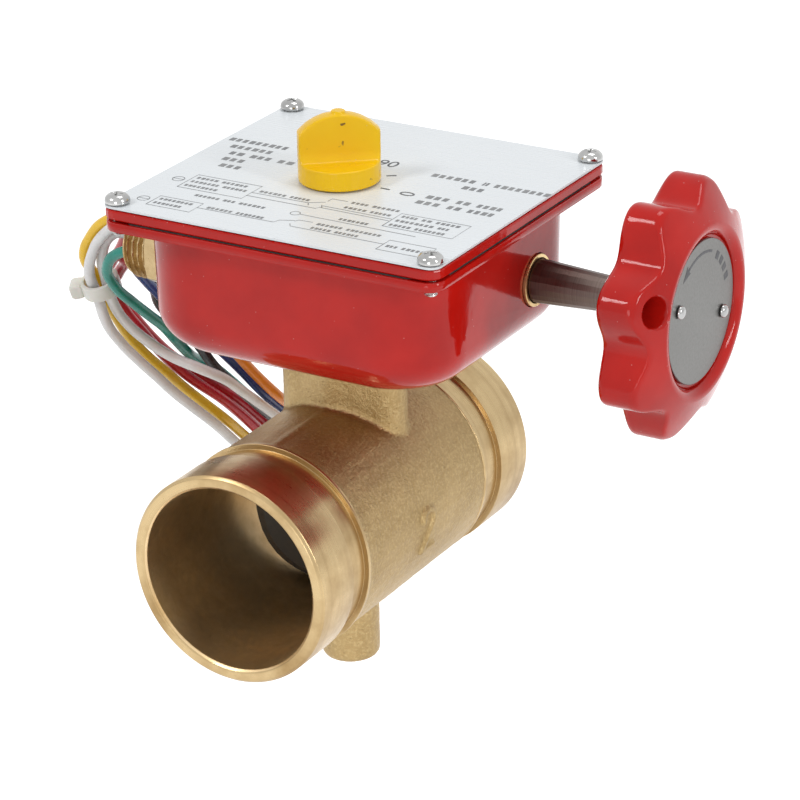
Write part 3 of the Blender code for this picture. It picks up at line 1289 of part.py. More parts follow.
def smooth_route(points, step):
    """Read evenly spaced points from a Catmull-Rom curve through the route's own points."""
    path = [Vector(point) for point in points]
    ends = [2 * path[0] - path[1]] + path + [2 * path[-1] - path[-2]]
    fine = []
    for index in range(1, len(ends) - 2):
        before, start, end, after = ends[index - 1:index + 3]
        for part in range(24):
            t = part / 24
            fine.append(0.5 * (
                2 * start + (end - before) * t + (2 * before - 5 * start + 4 * end - after) * t * t
                + (3 * start - before - 3 * end + after) * t * t * t
            ))
    fine.append(path[-1])
    length = sum((b - a).length for a, b in zip(fine, fine[1:]))
    count = max(4, round(length / step))
    spaced = [fine[0]]
    travelled = 0.0
    for a, b in zip(fine, fine[1:]):
        piece = (b - a).length
        while len(spaced) < count and travelled + piece >= length * len(spaced) / count:
            share = (length * len(spaced) / count - travelled) / piece
            spaced.append(a.lerp(b, share))
        travelled += piece
    spaced.append(fine[-1])
    return spaced


def make_wire(name, route, diameter, finish):
    curve = bpy.data.curves.new(name, "CURVE")
    curve.dimensions = "3D"
    curve.bevel_depth = diameter / 2
    curve.bevel_resolution = 2
    curve.use_fill_caps = True
    points = smooth_route(route, WIRE_STEP)
    spline = curve.splines.new("POLY")
    spline.points.add(len(points) - 1)
    for target, point in zip(spline.points, points):
        target.co = (*point, 1.0)
    wire = bpy.data.objects.new(name, curve)
    bpy.context.scene.collection.objects.link(wire)
    curve.materials.append(finish)
    return wire


# Hand-chosen route points of each lead wire in millimetres, counted from the middle of the
# nipple's mouth and in order from the mouth to the wire's end
MILLIMETRE = 0.001
WIRE_ROUTES = {
    "wire_yellow": (
        (-6.9, 0.6, 6.1), (-13.6, 0.7, 2.6), (-20.9, 2.0, -5.3), (-22.7, 3.2, -11.0), (-22.0, 6.4, -16.4),
        (-21.0, 8.4, -20.9), (-20.2, 11.0, -28.3), (-17.8, 19.0, -42.1), (-13.0, 25.9, -51.8),
        (-8.2, 33.8, -62.0), (-1.1, 39.9, -70.8), (-0.8, 65.4, -95.0), (-7.3, 87.7, -112.1),
        (-13.4, 104.9, -130.7), (-17.6, 114.3, -149.5), (-20.1, 116.5, -165.0),
    ),
    "wire_white_a": (
        (-6.0, -3.0, 4.3), (-10.7, -2.2, 1.3), (-16.4, -0.7, -5.5), (-19.7, 0.6, -12.3),
        (-20.4, 3.2, -17.3), (-20.2, 4.8, -22.1), (-18.6, 5.3, -29.1), (-16.4, 11.0, -39.3),
        (-11.2, 18.0, -49.7), (-6.8, 26.0, -60.2), (-0.8, 33.1, -69.3), (-0.3, 60.0, -95.6),
        (-7.4, 81.9, -112.1), (-14.1, 99.3, -129.8), (-18.6, 108.9, -147.9), (-21.2, 111.3, -163.0),
    ),
    "wire_white_b": (
        (-7.4, 1.1, 0.8), (-12.9, 2.6, -2.0), (-16.2, 3.1, -7.1), (-17.4, 4.5, -11.4), (-17.3, 5.4, -16.4),
        (-17.3, 6.8, -21.3), (-16.6, 9.4, -28.3), (-13.4, 14.1, -36.0), (-7.6, 19.7, -43.3),
        (-1.1, 22.7, -46.9), (6.3, 30.7, -53.5), (9.9, 64.3, -83.1), (5.7, 86.1, -102.0),
        (0.6, 103.7, -124.2), (-3.3, 112.9, -145.5), (-5.7, 114.8, -162.1),
    ),
    "wire_red_a": (
        (-5.2, -1.3, -6.0), (-10.7, 3.3, -7.6), (-13.9, 10.9, -12.6), (-23.0, 17.0, -23.7),
        (-22.5, 20.2, -31.5), (-16.5, 23.0, -40.8), (-13.3, 30.2, -51.1), (-7.4, 37.2, -60.2),
        (-2.1, 44.6, -68.4), (2.8, 64.6, -90.9), (-2.8, 86.0, -108.5), (-8.5, 103.5, -128.1),
        (-12.4, 112.7, -147.7), (-14.9, 114.7, -163.5),
    ),
    "wire_red_b": (
        (-6.1, 5.3, 3.3), (-12.8, 9.6, 0.5), (-16.7, 15.5, -7.4), (-28.7, 21.8, -23.5),
        (-27.2, 26.4, -32.4), (-19.7, 28.2, -42.0), (-15.2, 35.0, -51.7), (-9.1, 42.0, -60.2),
        (-2.3, 49.4, -68.4), (1.4, 70.9, -91.1), (-3.7, 92.6, -109.1), (-8.3, 109.4, -129.3),
        (-11.9, 118.4, -149.5), (-14.3, 120.3, -165.7),
    ),
    "wire_green": (
        (-3.7, -5.3, -2.7), (-6.4, -4.9, -4.1), (-8.7, -4.4, -6.4), (-10.4, -3.4, -9.8),
        (-10.8, -1.6, -13.3), (-10.2, 1.5, -17.6), (-8.0, 9.0, -25.7), (-6.8, 18.0, -34.0),
        (-7.0, 27.7, -44.3), (-7.8, 37.7, -52.6), (-5.9, 44.7, -57.7), (-3.5, 52.8, -66.6),
        (0.6, 76.5, -90.7), (-4.1, 98.6, -109.4), (-7.9, 114.4, -130.3), (-11.4, 123.1, -151.1),
        (-13.8, 125.0, -167.5),
    ),
    "wire_black": (
        (-5.2, 5.7, -5.0), (-8.2, 9.3, -8.8), (-8.3, 16.0, -15.3), (-11.9, 23.0, -28.9),
        (-9.2, 28.9, -36.8), (-5.8, 32.9, -43.9), (-3.1, 33.5, -48.8), (0.9, 35.3, -53.3),
        (3.7, 41.7, -61.4), (5.5, 68.3, -86.7), (0.9, 90.0, -105.2), (-3.7, 107.2, -126.6),
        (-7.0, 115.9, -147.4), (-9.2, 117.7, -163.8),
    ),
    "wire_blue": (
        (-4.8, 3.1, -7.7), (-7.6, 6.5, -11.4), (-8.4, 13.3, -18.9), (-6.1, 19.9, -27.4),
        (-3.3, 25.9, -36.2), (-0.9, 34.6, -44.4), (2.7, 42.7, -54.5), (7.4, 48.1, -63.5),
        (5.9, 73.0, -85.5), (1.2, 95.4, -105.2), (-2.6, 112.2, -127.4), (-5.8, 120.7, -148.9),
        (-8.1, 122.5, -165.6),
    ),
    "wire_orange": (
        (-4.8, 7.0, -0.5), (-8.5, 11.0, -2.3), (-9.8, 17.7, -7.5), (-8.6, 28.0, -28.5), (-1.3, 33.1, -37.2),
        (4.4, 36.0, -44.9), (7.8, 42.0, -54.3), (13.2, 49.0, -64.6), (8.2, 74.1, -82.4),
        (4.6, 96.3, -102.4), (1.5, 112.9, -125.6), (-1.5, 121.2, -148.0), (-3.7, 122.8, -165.0),
    ),
}

# Where each wire stands in the nipple: degrees round its axis from +Y to +Z, or nothing for the middle one
WIRE_SLOTS = {
    "wire_yellow": 82.0, "wire_white_a": 124.0, "wire_white_b": None, "wire_red_a": 240.0, "wire_red_b": 41.0,
    "wire_green": 198.0, "wire_black": 321.0, "wire_blue": 281.0, "wire_orange": 1.0,
}


def make_wires(finishes):
    mouth = Vector((NIPPLE_END, NIPPLE_Y, NIPPLE_Z))
    for name, places in WIRE_ROUTES.items():
        slot = WIRE_SLOTS[name]
        if slot is None:
            y, z = NIPPLE_Y, NIPPLE_Z
        else:
            y = NIPPLE_Y + WIRE_RING * math.cos(math.radians(slot))
            z = NIPPLE_Z + WIRE_RING * math.sin(math.radians(slot))
        route = [(WIRE_START, y, z), ((WIRE_START + NIPPLE_END) / 2, y, z), (NIPPLE_END + OVERLAP, y, z)]
        route += [mouth + MILLIMETRE * Vector(place) for place in places]
        make_wire(name, route, WIRE_DIAMETER, finishes[name])


def make_cable_tie(finish):
    """Band round three of the wires, square across them, with its lock head at the outer side."""
    along = Vector(TIE_DIRECTION).normalized()
    half = TIE_WIDTH / 2
    band = tube("cable_tie", TIE_INNER_RADIUS, TIE_INNER_RADIUS + TIE_THICKNESS, -half, half, finish, steps=24)
    reach = TIE_INNER_RADIUS + TIE_THICKNESS / 2
    head = box("head", (reach, -TIE_HEAD_WIDTH / 2, -half), (reach + TIE_HEAD_DEPTH, TIE_HEAD_WIDTH / 2, half))
    join(band, head)
    outward = Vector(TIE_HEAD_SIDE)
    outward = (outward - along * outward.dot(along)).normalized()
    frame = Matrix((outward, along.cross(outward), along)).transposed().to_4x4()
    place = Vector((NIPPLE_END, NIPPLE_Y, NIPPLE_Z)) + Vector(TIE_PLACE)
    band.matrix_world = Matrix.Translation(place) @ frame
    return band


# Assembly

def main():
    clear_scene()
    bronze = material("Bronze", (0.45, 0.30, 0.15), 0.42, 1.0)
    red = material("Red enamel", (0.55, 0.02, 0.02), 0.18)
    rubber = material("Black rubber", (0.02, 0.02, 0.02), 0.6)
    iron = material("Ductile iron", (0.25, 0.24, 0.23), 0.5, 1.0)
    stainless = material("Stainless steel", (0.6, 0.6, 0.6), 0.3, 1.0)
    dark_steel = material("Dark steel", (0.16, 0.12, 0.1), 0.4, 1.0)
    zinc = material("Zinc plate", (0.72, 0.72, 0.72), 0.25, 1.0)
    brass = material("Brass", (0.65, 0.45, 0.2), 0.3, 1.0)
    fibre = material("Gasket fibre", (0.08, 0.08, 0.08), 0.8)
    printed = material("White aluminium", (0.8, 0.81, 0.82), 0.35)
    grey_print = material("Grey label", (0.4, 0.4, 0.4), 0.4, 0.5)
    yellow = material("Yellow enamel", (0.85, 0.55, 0.02), 0.3)
    black_plastic = material("Black plastic", (0.03, 0.03, 0.03), 0.45)
    red_plastic = material("Red plastic", (0.4, 0.03, 0.02), 0.45)
    nylon = material("White nylon", (0.8, 0.8, 0.74), 0.5)

    make_valve_body(bronze)
    make_disc(iron, rubber)
    make_upper_stem(stainless)
    make_lower_stem(stainless)
    make_stem_bushes(brass)
    make_stem_rings(rubber)
    make_neck_gasket(fibre)
    make_neck_bolt("neck_bolt_left", -1, zinc)
    make_neck_bolt("neck_bolt_right", 1, zinc)
    make_gear_housing(red)
    gasket_band("cover_gasket", GASKET_INSET, GASKET_WIDTH, COVER_BOTTOM - GAP - GASKET_THICKNESS,
                COVER_BOTTOM - GAP, fibre)
    make_cover(red)
    make_cover_seal(rubber)
    make_label_plate(printed)
    corners = ("front_left", "back_left", "front_right", "back_right")
    for corner, (x, y) in zip(corners, screw_places()):
        make_cover_screw("cover_screw_" + corner, x, y, zinc)
    make_worm_gear(brass)
    make_gear_key(stainless)
    make_gear_circlip(dark_steel)
    make_worm_shaft(dark_steel)
    make_shaft_bushes(brass)
    make_shaft_ring(rubber)
    make_shaft_circlip(dark_steel)
    make_handwheel(red)
    make_wheel_pin(dark_steel)
    make_wheel_label(grey_print)
    for side, turn in zip(("upper", "lower"), rivet_turns()):
        make_label_rivet("label_rivet_" + side, turn, zinc)
    make_indicator_knob(yellow)
    make_indicator_screw(dark_steel)
    make_switch_cam(nylon)
    make_cam_screw(dark_steel)
    make_bracket(zinc)
    for index, level in enumerate(("lower", "upper")):
        make_switch("switch_" + level, index, black_plastic)
        make_plunger("plunger_" + level, index, red_plastic)
    for side, place in zip(("front", "back"), switch_screw_places()):
        make_switch_screw("switch_screw_" + side, place, zinc)
    make_earth_screw(brass)
    make_conduit_nipple(brass)
    wire_colours = {
        "wire_yellow": (0.8, 0.5, 0.02), "wire_white_a": (0.75, 0.75, 0.74), "wire_white_b": (0.75, 0.75, 0.74),
        "wire_red_a": (0.5, 0.02, 0.02), "wire_red_b": (0.5, 0.02, 0.02), "wire_green": (0.01, 0.3, 0.22),
        "wire_black": (0.02, 0.02, 0.02), "wire_blue": (0.02, 0.05, 0.3), "wire_orange": (0.8, 0.22, 0.03),
    }
    wire_finishes = {name: material("Insulation " + name, colour, 0.4) for name, colour in wire_colours.items()}
    make_wires(wire_finishes)
    make_cable_tie(nylon)


main()
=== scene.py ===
# Studio view of a grooved butterfly valve with a worm gearbox, a handwheel and lead wires.
#
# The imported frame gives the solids. This script adds the finer pieces, the materials, the light
# and the camera. Everything is in metres: +Y runs along the pipe, +X along the handwheel's shaft
# and +Z up the stem.

import json
import math

import bmesh
import bpy
from mathutils import Matrix, Vector, noise


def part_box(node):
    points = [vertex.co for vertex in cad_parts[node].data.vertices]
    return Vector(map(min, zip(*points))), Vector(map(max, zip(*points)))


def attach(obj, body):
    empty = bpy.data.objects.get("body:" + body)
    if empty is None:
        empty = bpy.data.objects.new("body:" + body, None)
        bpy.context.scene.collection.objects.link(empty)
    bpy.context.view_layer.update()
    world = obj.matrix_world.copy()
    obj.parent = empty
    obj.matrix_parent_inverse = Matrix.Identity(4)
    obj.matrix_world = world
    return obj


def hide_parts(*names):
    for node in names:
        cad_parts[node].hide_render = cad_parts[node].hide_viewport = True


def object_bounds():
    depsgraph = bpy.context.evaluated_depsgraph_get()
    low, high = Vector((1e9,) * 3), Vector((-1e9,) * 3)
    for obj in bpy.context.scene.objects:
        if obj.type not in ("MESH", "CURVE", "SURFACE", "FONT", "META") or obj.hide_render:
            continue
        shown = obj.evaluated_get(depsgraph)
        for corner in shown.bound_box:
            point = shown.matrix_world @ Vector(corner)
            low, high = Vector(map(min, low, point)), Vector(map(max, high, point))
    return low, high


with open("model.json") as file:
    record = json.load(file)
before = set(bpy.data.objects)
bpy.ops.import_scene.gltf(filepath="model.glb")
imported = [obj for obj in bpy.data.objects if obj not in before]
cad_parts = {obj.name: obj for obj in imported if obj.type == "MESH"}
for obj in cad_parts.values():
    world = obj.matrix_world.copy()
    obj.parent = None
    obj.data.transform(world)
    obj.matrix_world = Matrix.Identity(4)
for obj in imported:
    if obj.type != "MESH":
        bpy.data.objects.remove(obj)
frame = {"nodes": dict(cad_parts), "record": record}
cad_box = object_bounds()
nodes = frame["nodes"]

MILLIMETRE = 0.001


def with_settings(thing, **settings):
    """Set several of a thing's own values, and give the thing back."""
    for key, value in settings.items():
        setattr(thing, key, value)
    return thing


def linked(name, data):
    """Make an object of its data, and put it in the scene."""
    thing = bpy.data.objects.new(name, data)
    bpy.context.scene.collection.objects.link(thing)
    return thing


# Camera, solved from the photograph: azimuth, elevation and roll in degrees

CAMERA_TURNS = (30.54, 23.36, -1.04)
CAMERA_PLACE = (0.45895, -0.74783, 0.40749)
CAMERA_LENS = 154.0


def add_camera():
    azimuth, elevation, roll = map(math.radians, CAMERA_TURNS)
    level = Vector((math.cos(azimuth), math.sin(azimuth), 0.0))
    flat = math.cos(elevation)
    back = Vector((math.sin(azimuth) * flat, -math.cos(azimuth) * flat, math.sin(elevation)))
    above = back.cross(level)
    right = level * math.cos(roll) + above * math.sin(roll)
    up = above * math.cos(roll) - level * math.sin(roll)
    data = bpy.data.cameras.new("studio_camera")
    with_settings(data, sensor_width=36.0, lens=CAMERA_LENS, clip_start=0.05, clip_end=20.0)
    camera = linked("studio_camera", data)
    turn = Matrix((right, up, back)).transposed().to_4x4()
    camera.matrix_world = Matrix.Translation(CAMERA_PLACE) @ turn
    bpy.context.scene.camera = camera


# Material nodes

class Surface:
    """A Principled material whose colour, roughness and bump come from noise in the object's space."""

    def __init__(self, name):
        self.material = bpy.data.materials.new(name)
        self.material.use_nodes = True
        self.tree = self.material.node_tree
        self.shader = self.tree.nodes["Principled BSDF"]
        self.place = self.node("ShaderNodeTexCoord").outputs["Object"]

    def feed(self, socket, value):
        """Link a node's output to a socket, or set the socket's own plain value."""
        if isinstance(value, bpy.types.NodeSocket):
            self.tree.links.new(value, socket)
        else:
            socket.default_value = value

    def node(self, kind, inputs=None, **settings):
        made = with_settings(self.tree.nodes.new(kind), **settings)
        for key, value in (inputs or {}).items():
            self.feed(made.inputs[key], value)
        return made

    def noise(self, scale, detail=3.0, roughness=0.55, stretch=None):
        place = self.place
        if stretch is not None:
            place = self.node("ShaderNodeMapping", {"Vector": place, "Scale": stretch}).outputs["Vector"]
        inputs = {"Vector": place, "Scale": scale, "Detail": detail, "Roughness": roughness}
        return self.node("ShaderNodeTexNoise", inputs).outputs["Fac"]

    def lines(self, along, scale):
        """Noise that changes with one value only, as turning marks do."""
        inputs = {"W": along, "Scale": scale, "Detail": 2.0}
        return self.node("ShaderNodeTexNoise", inputs, noise_dimensions="1D").outputs["Fac"]

    def spots(self, scale, low, high):
        made = self.node("ShaderNodeTexVoronoi", {"Vector": self.place, "Scale": scale})
        return self.ranged(made.outputs["Distance"], low, high, 1.0, 0.0)

    def ranged(self, value, low, high, to_low=0.0, to_high=1.0):
        inputs = {"Value": value, "From Min": low, "From Max": high, "To Min": to_low, "To Max": to_high}
        return self.node("ShaderNodeMapRange", inputs).outputs["Result"]

    def math(self, operation, first, second=0.0):
        return self.node("ShaderNodeMath", {0: first, 1: second}, operation=operation).outputs[0]

    def mix(self, share, first, second):
        first, second = ((*value, 1.0) if isinstance(value, tuple) else value for value in (first, second))
        inputs = {"Factor": share, 6: first, 7: second}
        return self.node("ShaderNodeMix", inputs, data_type="RGBA").outputs[2]

    def axes(self):
        return tuple(self.node("ShaderNodeSeparateXYZ", {0: self.place}).outputs)

    def bump(self, height, depth, before=None):
        inputs = {"Strength": 1.0, "Distance": depth, "Height": height}
        if before is not None:
            inputs["Normal"] = before
        return self.node("ShaderNodeBump", inputs).outputs["Normal"]

    def finished(self, colour, roughness, normal, **others):
        """Set the shader's sockets, and give back the material."""
        for name, value in {"base_color": colour, "roughness": roughness, "normal": normal, **others}.items():
            self.feed(self.shader.inputs[name.replace("_", " ").title().replace("Ior", "IOR")], value)
        return self.material


def enamel(name, colour, deep, roughness, chip=None):
    """Thick gloss paint: slow colour drift, orange peel, dust specks and a few chips."""
    s = Surface(name)
    shade = s.mix(s.ranged(s.noise(45.0), 0.35, 0.65), colour, deep)
    if chip is not None:
        flakes = s.ranged(s.noise(430.0, 2.0), 0.685, 0.71)
        shade = s.mix(s.math("MULTIPLY", flakes, s.ranged(s.noise(90.0), 0.5, 0.58)), shade, chip)
    dust = s.spots(330.0, 0.03, 0.06)
    shade = s.mix(s.math("MULTIPLY", dust, 0.25), shade, (0.75, 0.7, 0.68))
    rough = s.ranged(s.noise(160.0, 4.0), 0.3, 0.7, roughness, roughness + 0.07)
    normal = s.bump(dust, 0.00003, s.bump(s.noise(240.0, 1.5), 0.00005))
    return s.finished(shade, rough, normal, specular_ior_level=0.2, coat_weight=0.12, coat_roughness=0.03)


def metal(name, light, dark, rough, depth=0.00001):
    """Bare or plated metal with tarnish patches and a fine grain."""
    s = Surface(name)
    patch = s.ranged(s.noise(70.0, 4.0, 0.6), 0.38, 0.66)
    fine = s.noise(900.0, 3.0, 0.6)
    shade = s.mix(s.ranged(fine, 0.3, 0.7, 0.0, 0.22), s.mix(patch, light, dark), dark)
    patchy = s.math("ADD", s.math("MULTIPLY", patch, 0.6), s.math("MULTIPLY", fine, 0.4))
    return s.finished(shade, s.ranged(patchy, 0.2, 0.8, *rough), s.bump(fine, depth), metallic=1.0)


def plastic(name, colour, other, rough=(0.35, 0.5), grain=500.0, depth=0.00003, subsurface=0.0):
    """Moulded plastic, rubber or ink with faint colour drift and a fine skin."""
    s = Surface(name)
    slow = s.ranged(s.noise(110.0, 3.0), 0.35, 0.65)
    fine = s.noise(grain, 3.0)
    return s.finished(
        s.mix(slow, colour, other), s.ranged(fine, 0.3, 0.7, *rough), s.bump(fine, depth),
        subsurface_weight=subsurface, subsurface_scale=0.001,
    )


def cast_bronze():
    """Sand-cast skin: sintered grain, dark pits, and brighter high spots of the grain that are a painted
    sparkle.
    """
    s = Surface("cast_bronze")
    sand = s.noise(1050.0, 5.0, 0.72)
    lumps = s.noise(190.0, 3.0)
    patch = s.ranged(s.noise(38.0, 4.0, 0.6), 0.35, 0.68)
    pits = s.spots(620.0, 0.08, 0.22)
    shade = s.mix(patch, (0.45, 0.318, 0.148), (0.34, 0.232, 0.100))
    # The grain's high spots are painted paler: a painted sparkle standing in for glints on the grains.
    shade = s.mix(s.ranged(sand, 0.46, 0.68, 0.0, 0.55), shade, (0.66, 0.51, 0.27))
    shade = s.mix(s.math("MULTIPLY", pits, 0.22), shade, (0.17, 0.11, 0.05))
    height = s.math("ADD", sand, s.math("MULTIPLY", lumps, 0.8))
    height = s.math("SUBTRACT", height, s.math("MULTIPLY", pits, 0.3))
    return s.finished(shade, s.ranged(sand, 0.3, 0.75, 0.34, 0.48), s.bump(height, 0.0003), metallic=1.0)


def machined_bronze():
    """Turned ends and bore: rings of tool marks, brown stains, and a paler and duller bore."""
    s = Surface("machined_bronze")
    x, y, z = s.axes()
    radius = s.math("SQRT", s.math("ADD", s.math("MULTIPLY", x, x), s.math("MULTIPLY", z, z)))
    along = s.math("ADD", y, radius)
    marks = s.lines(along, 2600.0)
    bands = s.lines(along, 330.0)
    stain = s.ranged(s.noise(55.0, 5.0, 0.62), 0.42, 0.7)
    shade = s.mix(stain, (0.59, 0.44, 0.235), (0.37, 0.245, 0.11))
    shade = s.mix(s.ranged(bands, 0.4, 0.75, 0.0, 0.4), shade, (0.36, 0.24, 0.115))
    inside = s.math("LESS_THAN", radius, 0.0268)
    shade = s.mix(inside, shade, s.mix(stain, (0.78, 0.59, 0.34), (0.50, 0.34, 0.16)))
    worked = s.math("ADD", s.math("MULTIPLY", marks, 0.5), s.math("MULTIPLY", stain, 0.5))
    rough = s.math("ADD", s.ranged(worked, 0.2, 0.8, 0.26, 0.42), s.math("MULTIPLY", inside, 0.1))
    return s.finished(shade, rough, s.bump(marks, 0.00001), metallic=1.0)


def shaft_steel():
    """Turned steel, dark reddish brown at the gearbox end and fading to grey towards the wheel."""
    s = Surface("shaft_steel")
    x = s.axes()[0]
    marks = s.lines(x, 2200.0)
    stain = s.noise(120.0, 4.0, 0.6)
    fade = s.ranged(s.math("ADD", x, s.math("MULTIPLY", stain, 0.012)), 0.056, 0.082)
    shade = s.mix(fade, (0.075, 0.034, 0.028), (0.17, 0.135, 0.12))
    shade = s.mix(s.ranged(marks, 0.4, 0.8, 0.0, 0.3), shade, (0.04, 0.026, 0.022))
    return s.finished(shade, s.ranged(stain, 0.3, 0.7, 0.26, 0.42), s.bump(marks, 0.00001), metallic=1.0)


def insulation(name, colour, deep):
    """Stranded-wire insulation: soft sheen, scuffs and a faint wave from the strands below."""
    s = Surface(name)
    scuff = s.ranged(s.noise(260.0, 4.0, 0.65), 0.45, 0.75)
    rough = s.ranged(scuff, 0.0, 1.0, 0.26, 0.42)
    wave = s.bump(s.noise(420.0, 1.0), 0.00005)
    return s.finished(s.mix(scuff, colour, deep), rough, wave, coat_weight=0.15)


def label_metal(name, light, dark, rough, metallic):
    """Printed sheet metal with a brushed grain."""
    s = Surface(name)
    brush = s.noise(60.0, 4.0, 0.6, (1.0, 22.0, 22.0))
    slow = s.ranged(s.noise(28.0, 3.0), 0.35, 0.65)
    shade = s.mix(s.ranged(brush, 0.3, 0.7, 0.0, 0.5), light, dark)
    shade = s.mix(s.math("MULTIPLY", slow, 0.3), shade, dark)
    rough = s.ranged(brush, 0.3, 0.7, rough, rough + 0.08)
    return s.finished(shade, rough, s.bump(brush, 0.000004), metallic=metallic)


# Two colours that noise mixes, then what the material's own maker takes besides
ENAMELS = {
    "red_enamel": ((0.56, 0.012, 0.007), (0.45, 0.008, 0.005), 0.05),
    "yellow_enamel": ((0.90, 0.56, 0.008), (0.86, 0.50, 0.006), 0.16, (0.16, 0.08, 0.02)),
}
LABELS = {
    "label_white": ((0.80, 0.835, 0.855), (0.74, 0.775, 0.80), 0.24, 0.0),
    "label_grey": ((0.205, 0.203, 0.194), (0.145, 0.143, 0.136), 0.27, 0.85),
}
METALS = {
    "bright_steel": ((0.60, 0.60, 0.59), (0.30, 0.30, 0.30), (0.08, 0.2)),
    "dark_steel": ((0.20, 0.16, 0.14), (0.09, 0.07, 0.06), (0.3, 0.45)),
    "stainless": ((0.60, 0.59, 0.58), (0.42, 0.41, 0.40), (0.22, 0.36)),
    "iron": ((0.24, 0.22, 0.21), (0.13, 0.12, 0.11), (0.45, 0.6), 0.00008),
    "brass": ((0.80, 0.60, 0.30), (0.52, 0.34, 0.15), (0.18, 0.34)),
    "nipple_brass": ((0.55, 0.42, 0.235), (0.33, 0.22, 0.10), (0.2, 0.38)),
}
INK_GRAIN = (900.0, 0.000004)
PLASTICS = {
    "seal_rubber": ((0.022, 0.022, 0.023), (0.035, 0.034, 0.033), (0.45, 0.62)),
    "ring_rubber": ((0.03, 0.03, 0.03), (0.05, 0.05, 0.05), (0.5, 0.65)),
    "gasket_fibre": ((0.05, 0.05, 0.05), (0.09, 0.085, 0.08), (0.7, 0.85), 500.0, 0.0001),
    "nylon": ((0.80, 0.79, 0.73), (0.74, 0.73, 0.66), (0.3, 0.42), 500.0, 0.00003, 0.1),
    "black_plastic": ((0.03, 0.03, 0.03), (0.05, 0.05, 0.05)),
    "red_plastic": ((0.42, 0.03, 0.02), (0.34, 0.02, 0.02)),
    "ink_black": ((0.05, 0.052, 0.058), (0.11, 0.112, 0.118), (0.45, 0.6), *INK_GRAIN),
    # The text and diagram inks are black print painted lighter grey, as painted glare.
    "ink_text_painted_glare": ((0.17, 0.175, 0.185), (0.24, 0.245, 0.25), (0.4, 0.5), *INK_GRAIN),
    "ink_grey_painted_glare": ((0.20, 0.205, 0.215), (0.28, 0.285, 0.29), (0.45, 0.6), *INK_GRAIN),
}
INSULATIONS = {
    "wire_yellow": ((0.90, 0.56, 0.02), (0.82, 0.50, 0.03)),
    "wire_white": ((0.82, 0.81, 0.80), (0.72, 0.71, 0.70)),
    "wire_red": ((0.55, 0.018, 0.03), (0.42, 0.015, 0.025)),
    "wire_green": ((0.006, 0.26, 0.20), (0.01, 0.19, 0.15)),
    "wire_black": ((0.03, 0.03, 0.032), (0.06, 0.06, 0.06)),
    "wire_blue": ((0.02, 0.05, 0.26), (0.03, 0.07, 0.20)),
    "wire_orange": ((0.88, 0.28, 0.02), (0.78, 0.24, 0.03)),
}


def make_materials():
    made = {make.__name__: make() for make in (cast_bronze, machined_bronze, shaft_steel)}
    tables = {enamel: ENAMELS, label_metal: LABELS, metal: METALS, plastic: PLASTICS, insulation: INSULATIONS}
    for make, looks in tables.items():
        for name, values in looks.items():
            made[name] = make(name, *values)
    return made


# Mesh helpers

def even_turns(steps):
    return [2 * math.pi * index / steps for index in range(steps)]


def on_circle(radius, turn):
    return radius * math.cos(turn), radius * math.sin(turn)


def circle(radius, height, steps):
    return [(*on_circle(radius, turn), height) for turn in even_turns(steps)]


def joined(data, first, second):
    """Join two rings of corners by a band of faces."""
    for index in range(len(first)):
        after = (index + 1) % len(first)
        data.faces.new((first[index], first[after], second[after], second[index]))


def lofted(rings, closed=False):
    """Skin rings of equal length. The two ends are filled, or joined to each other when closed."""
    data = bmesh.new()
    made = [[data.verts.new(point) for point in ring] for ring in rings]
    for first, second in zip(made, made[1:]):
        joined(data, first, second)
    if closed:
        joined(data, made[-1], made[0])
    else:
        data.faces.new(list(reversed(made[0])))
        data.faces.new(made[-1])
    return data


def turned(profile, steps=96, closed=False):
    """Turn a profile of (radius, height) points round Z."""
    return lofted([circle(radius, height, steps) for radius, height in profile], closed)


def rounded(points, reach, steps=4, closed=False):
    """Replace each corner of a polyline by a short curve that starts at most reach away from it."""
    path = [Vector(point) for point in points]
    count = len(path)
    made = []
    for index, corner in enumerate(path):
        if not closed and index in (0, count - 1):
            made.append(corner)
            continue
        before = path[index - 1] - corner
        after = path[(index + 1) % count] - corner
        start = corner + before.normalized() * min(reach, 0.48 * before.length)
        end = corner + after.normalized() * min(reach, 0.48 * after.length)
        for part in range(steps + 1):
            t = part / steps
            made.append(start * (1 - t) ** 2 + corner * 2 * t * (1 - t) + end * t * t)
    return [tuple(point) for point in made]


def rectangle(left, right, front, back, radius, height, steps=10):
    """Ring of a rectangle with round corners at one height."""
    corners = (
        (right - radius, back - radius, 0), (left + radius, back - radius, 1),
        (left + radius, front + radius, 2), (right - radius, front + radius, 3),
    )
    ring = []
    for x, y, quarters in corners:
        for index in range(steps + 1):
            turn = math.pi / 2 * (quarters + index / steps)
            ring.append((x + radius * math.cos(turn), y + radius * math.sin(turn), height))
    return ring


def placed(data, matrix):
    bmesh.ops.transform(data, matrix=matrix, verts=data.verts)
    return data


def moved(data, place):
    return placed(data, Matrix.Translation(place))


def along_x(data, place=(0.0, 0.0, 0.0)):
    return placed(data, Matrix.Translation(place) @ Matrix.Rotation(math.pi / 2, 4, "Y"))


def along_y(data):
    return placed(data, Matrix.Rotation(-math.pi / 2, 4, "X"))


def rod(radius, low, high, steps=32):
    """A plain cylinder along Z that cuts a hole."""
    return turned([(radius, low), (radius, high)], steps)


def from_node(name):
    """Copy a CAD node's mesh with its split corners welded."""
    data = bmesh.new()
    data.from_mesh(nodes[name].data)
    bmesh.ops.remove_doubles(data, verts=data.verts, dist=0.000002)
    return data


def made_object(data, name="temporary"):
    """Make an object of a bmesh, which is used up."""
    bmesh.ops.recalc_face_normals(data, faces=data.faces)
    mesh = bpy.data.meshes.new(name)
    data.to_mesh(mesh)
    data.free()
    return linked(name, mesh)


def evaluated(thing):
    """Copy an object's mesh with its modifiers applied."""
    graph = bpy.context.evaluated_depsgraph_get()
    mesh = bpy.data.meshes.new_from_object(thing.evaluated_get(graph))
    data = bmesh.new()
    data.from_mesh(mesh)
    bpy.data.meshes.remove(mesh)
    return data


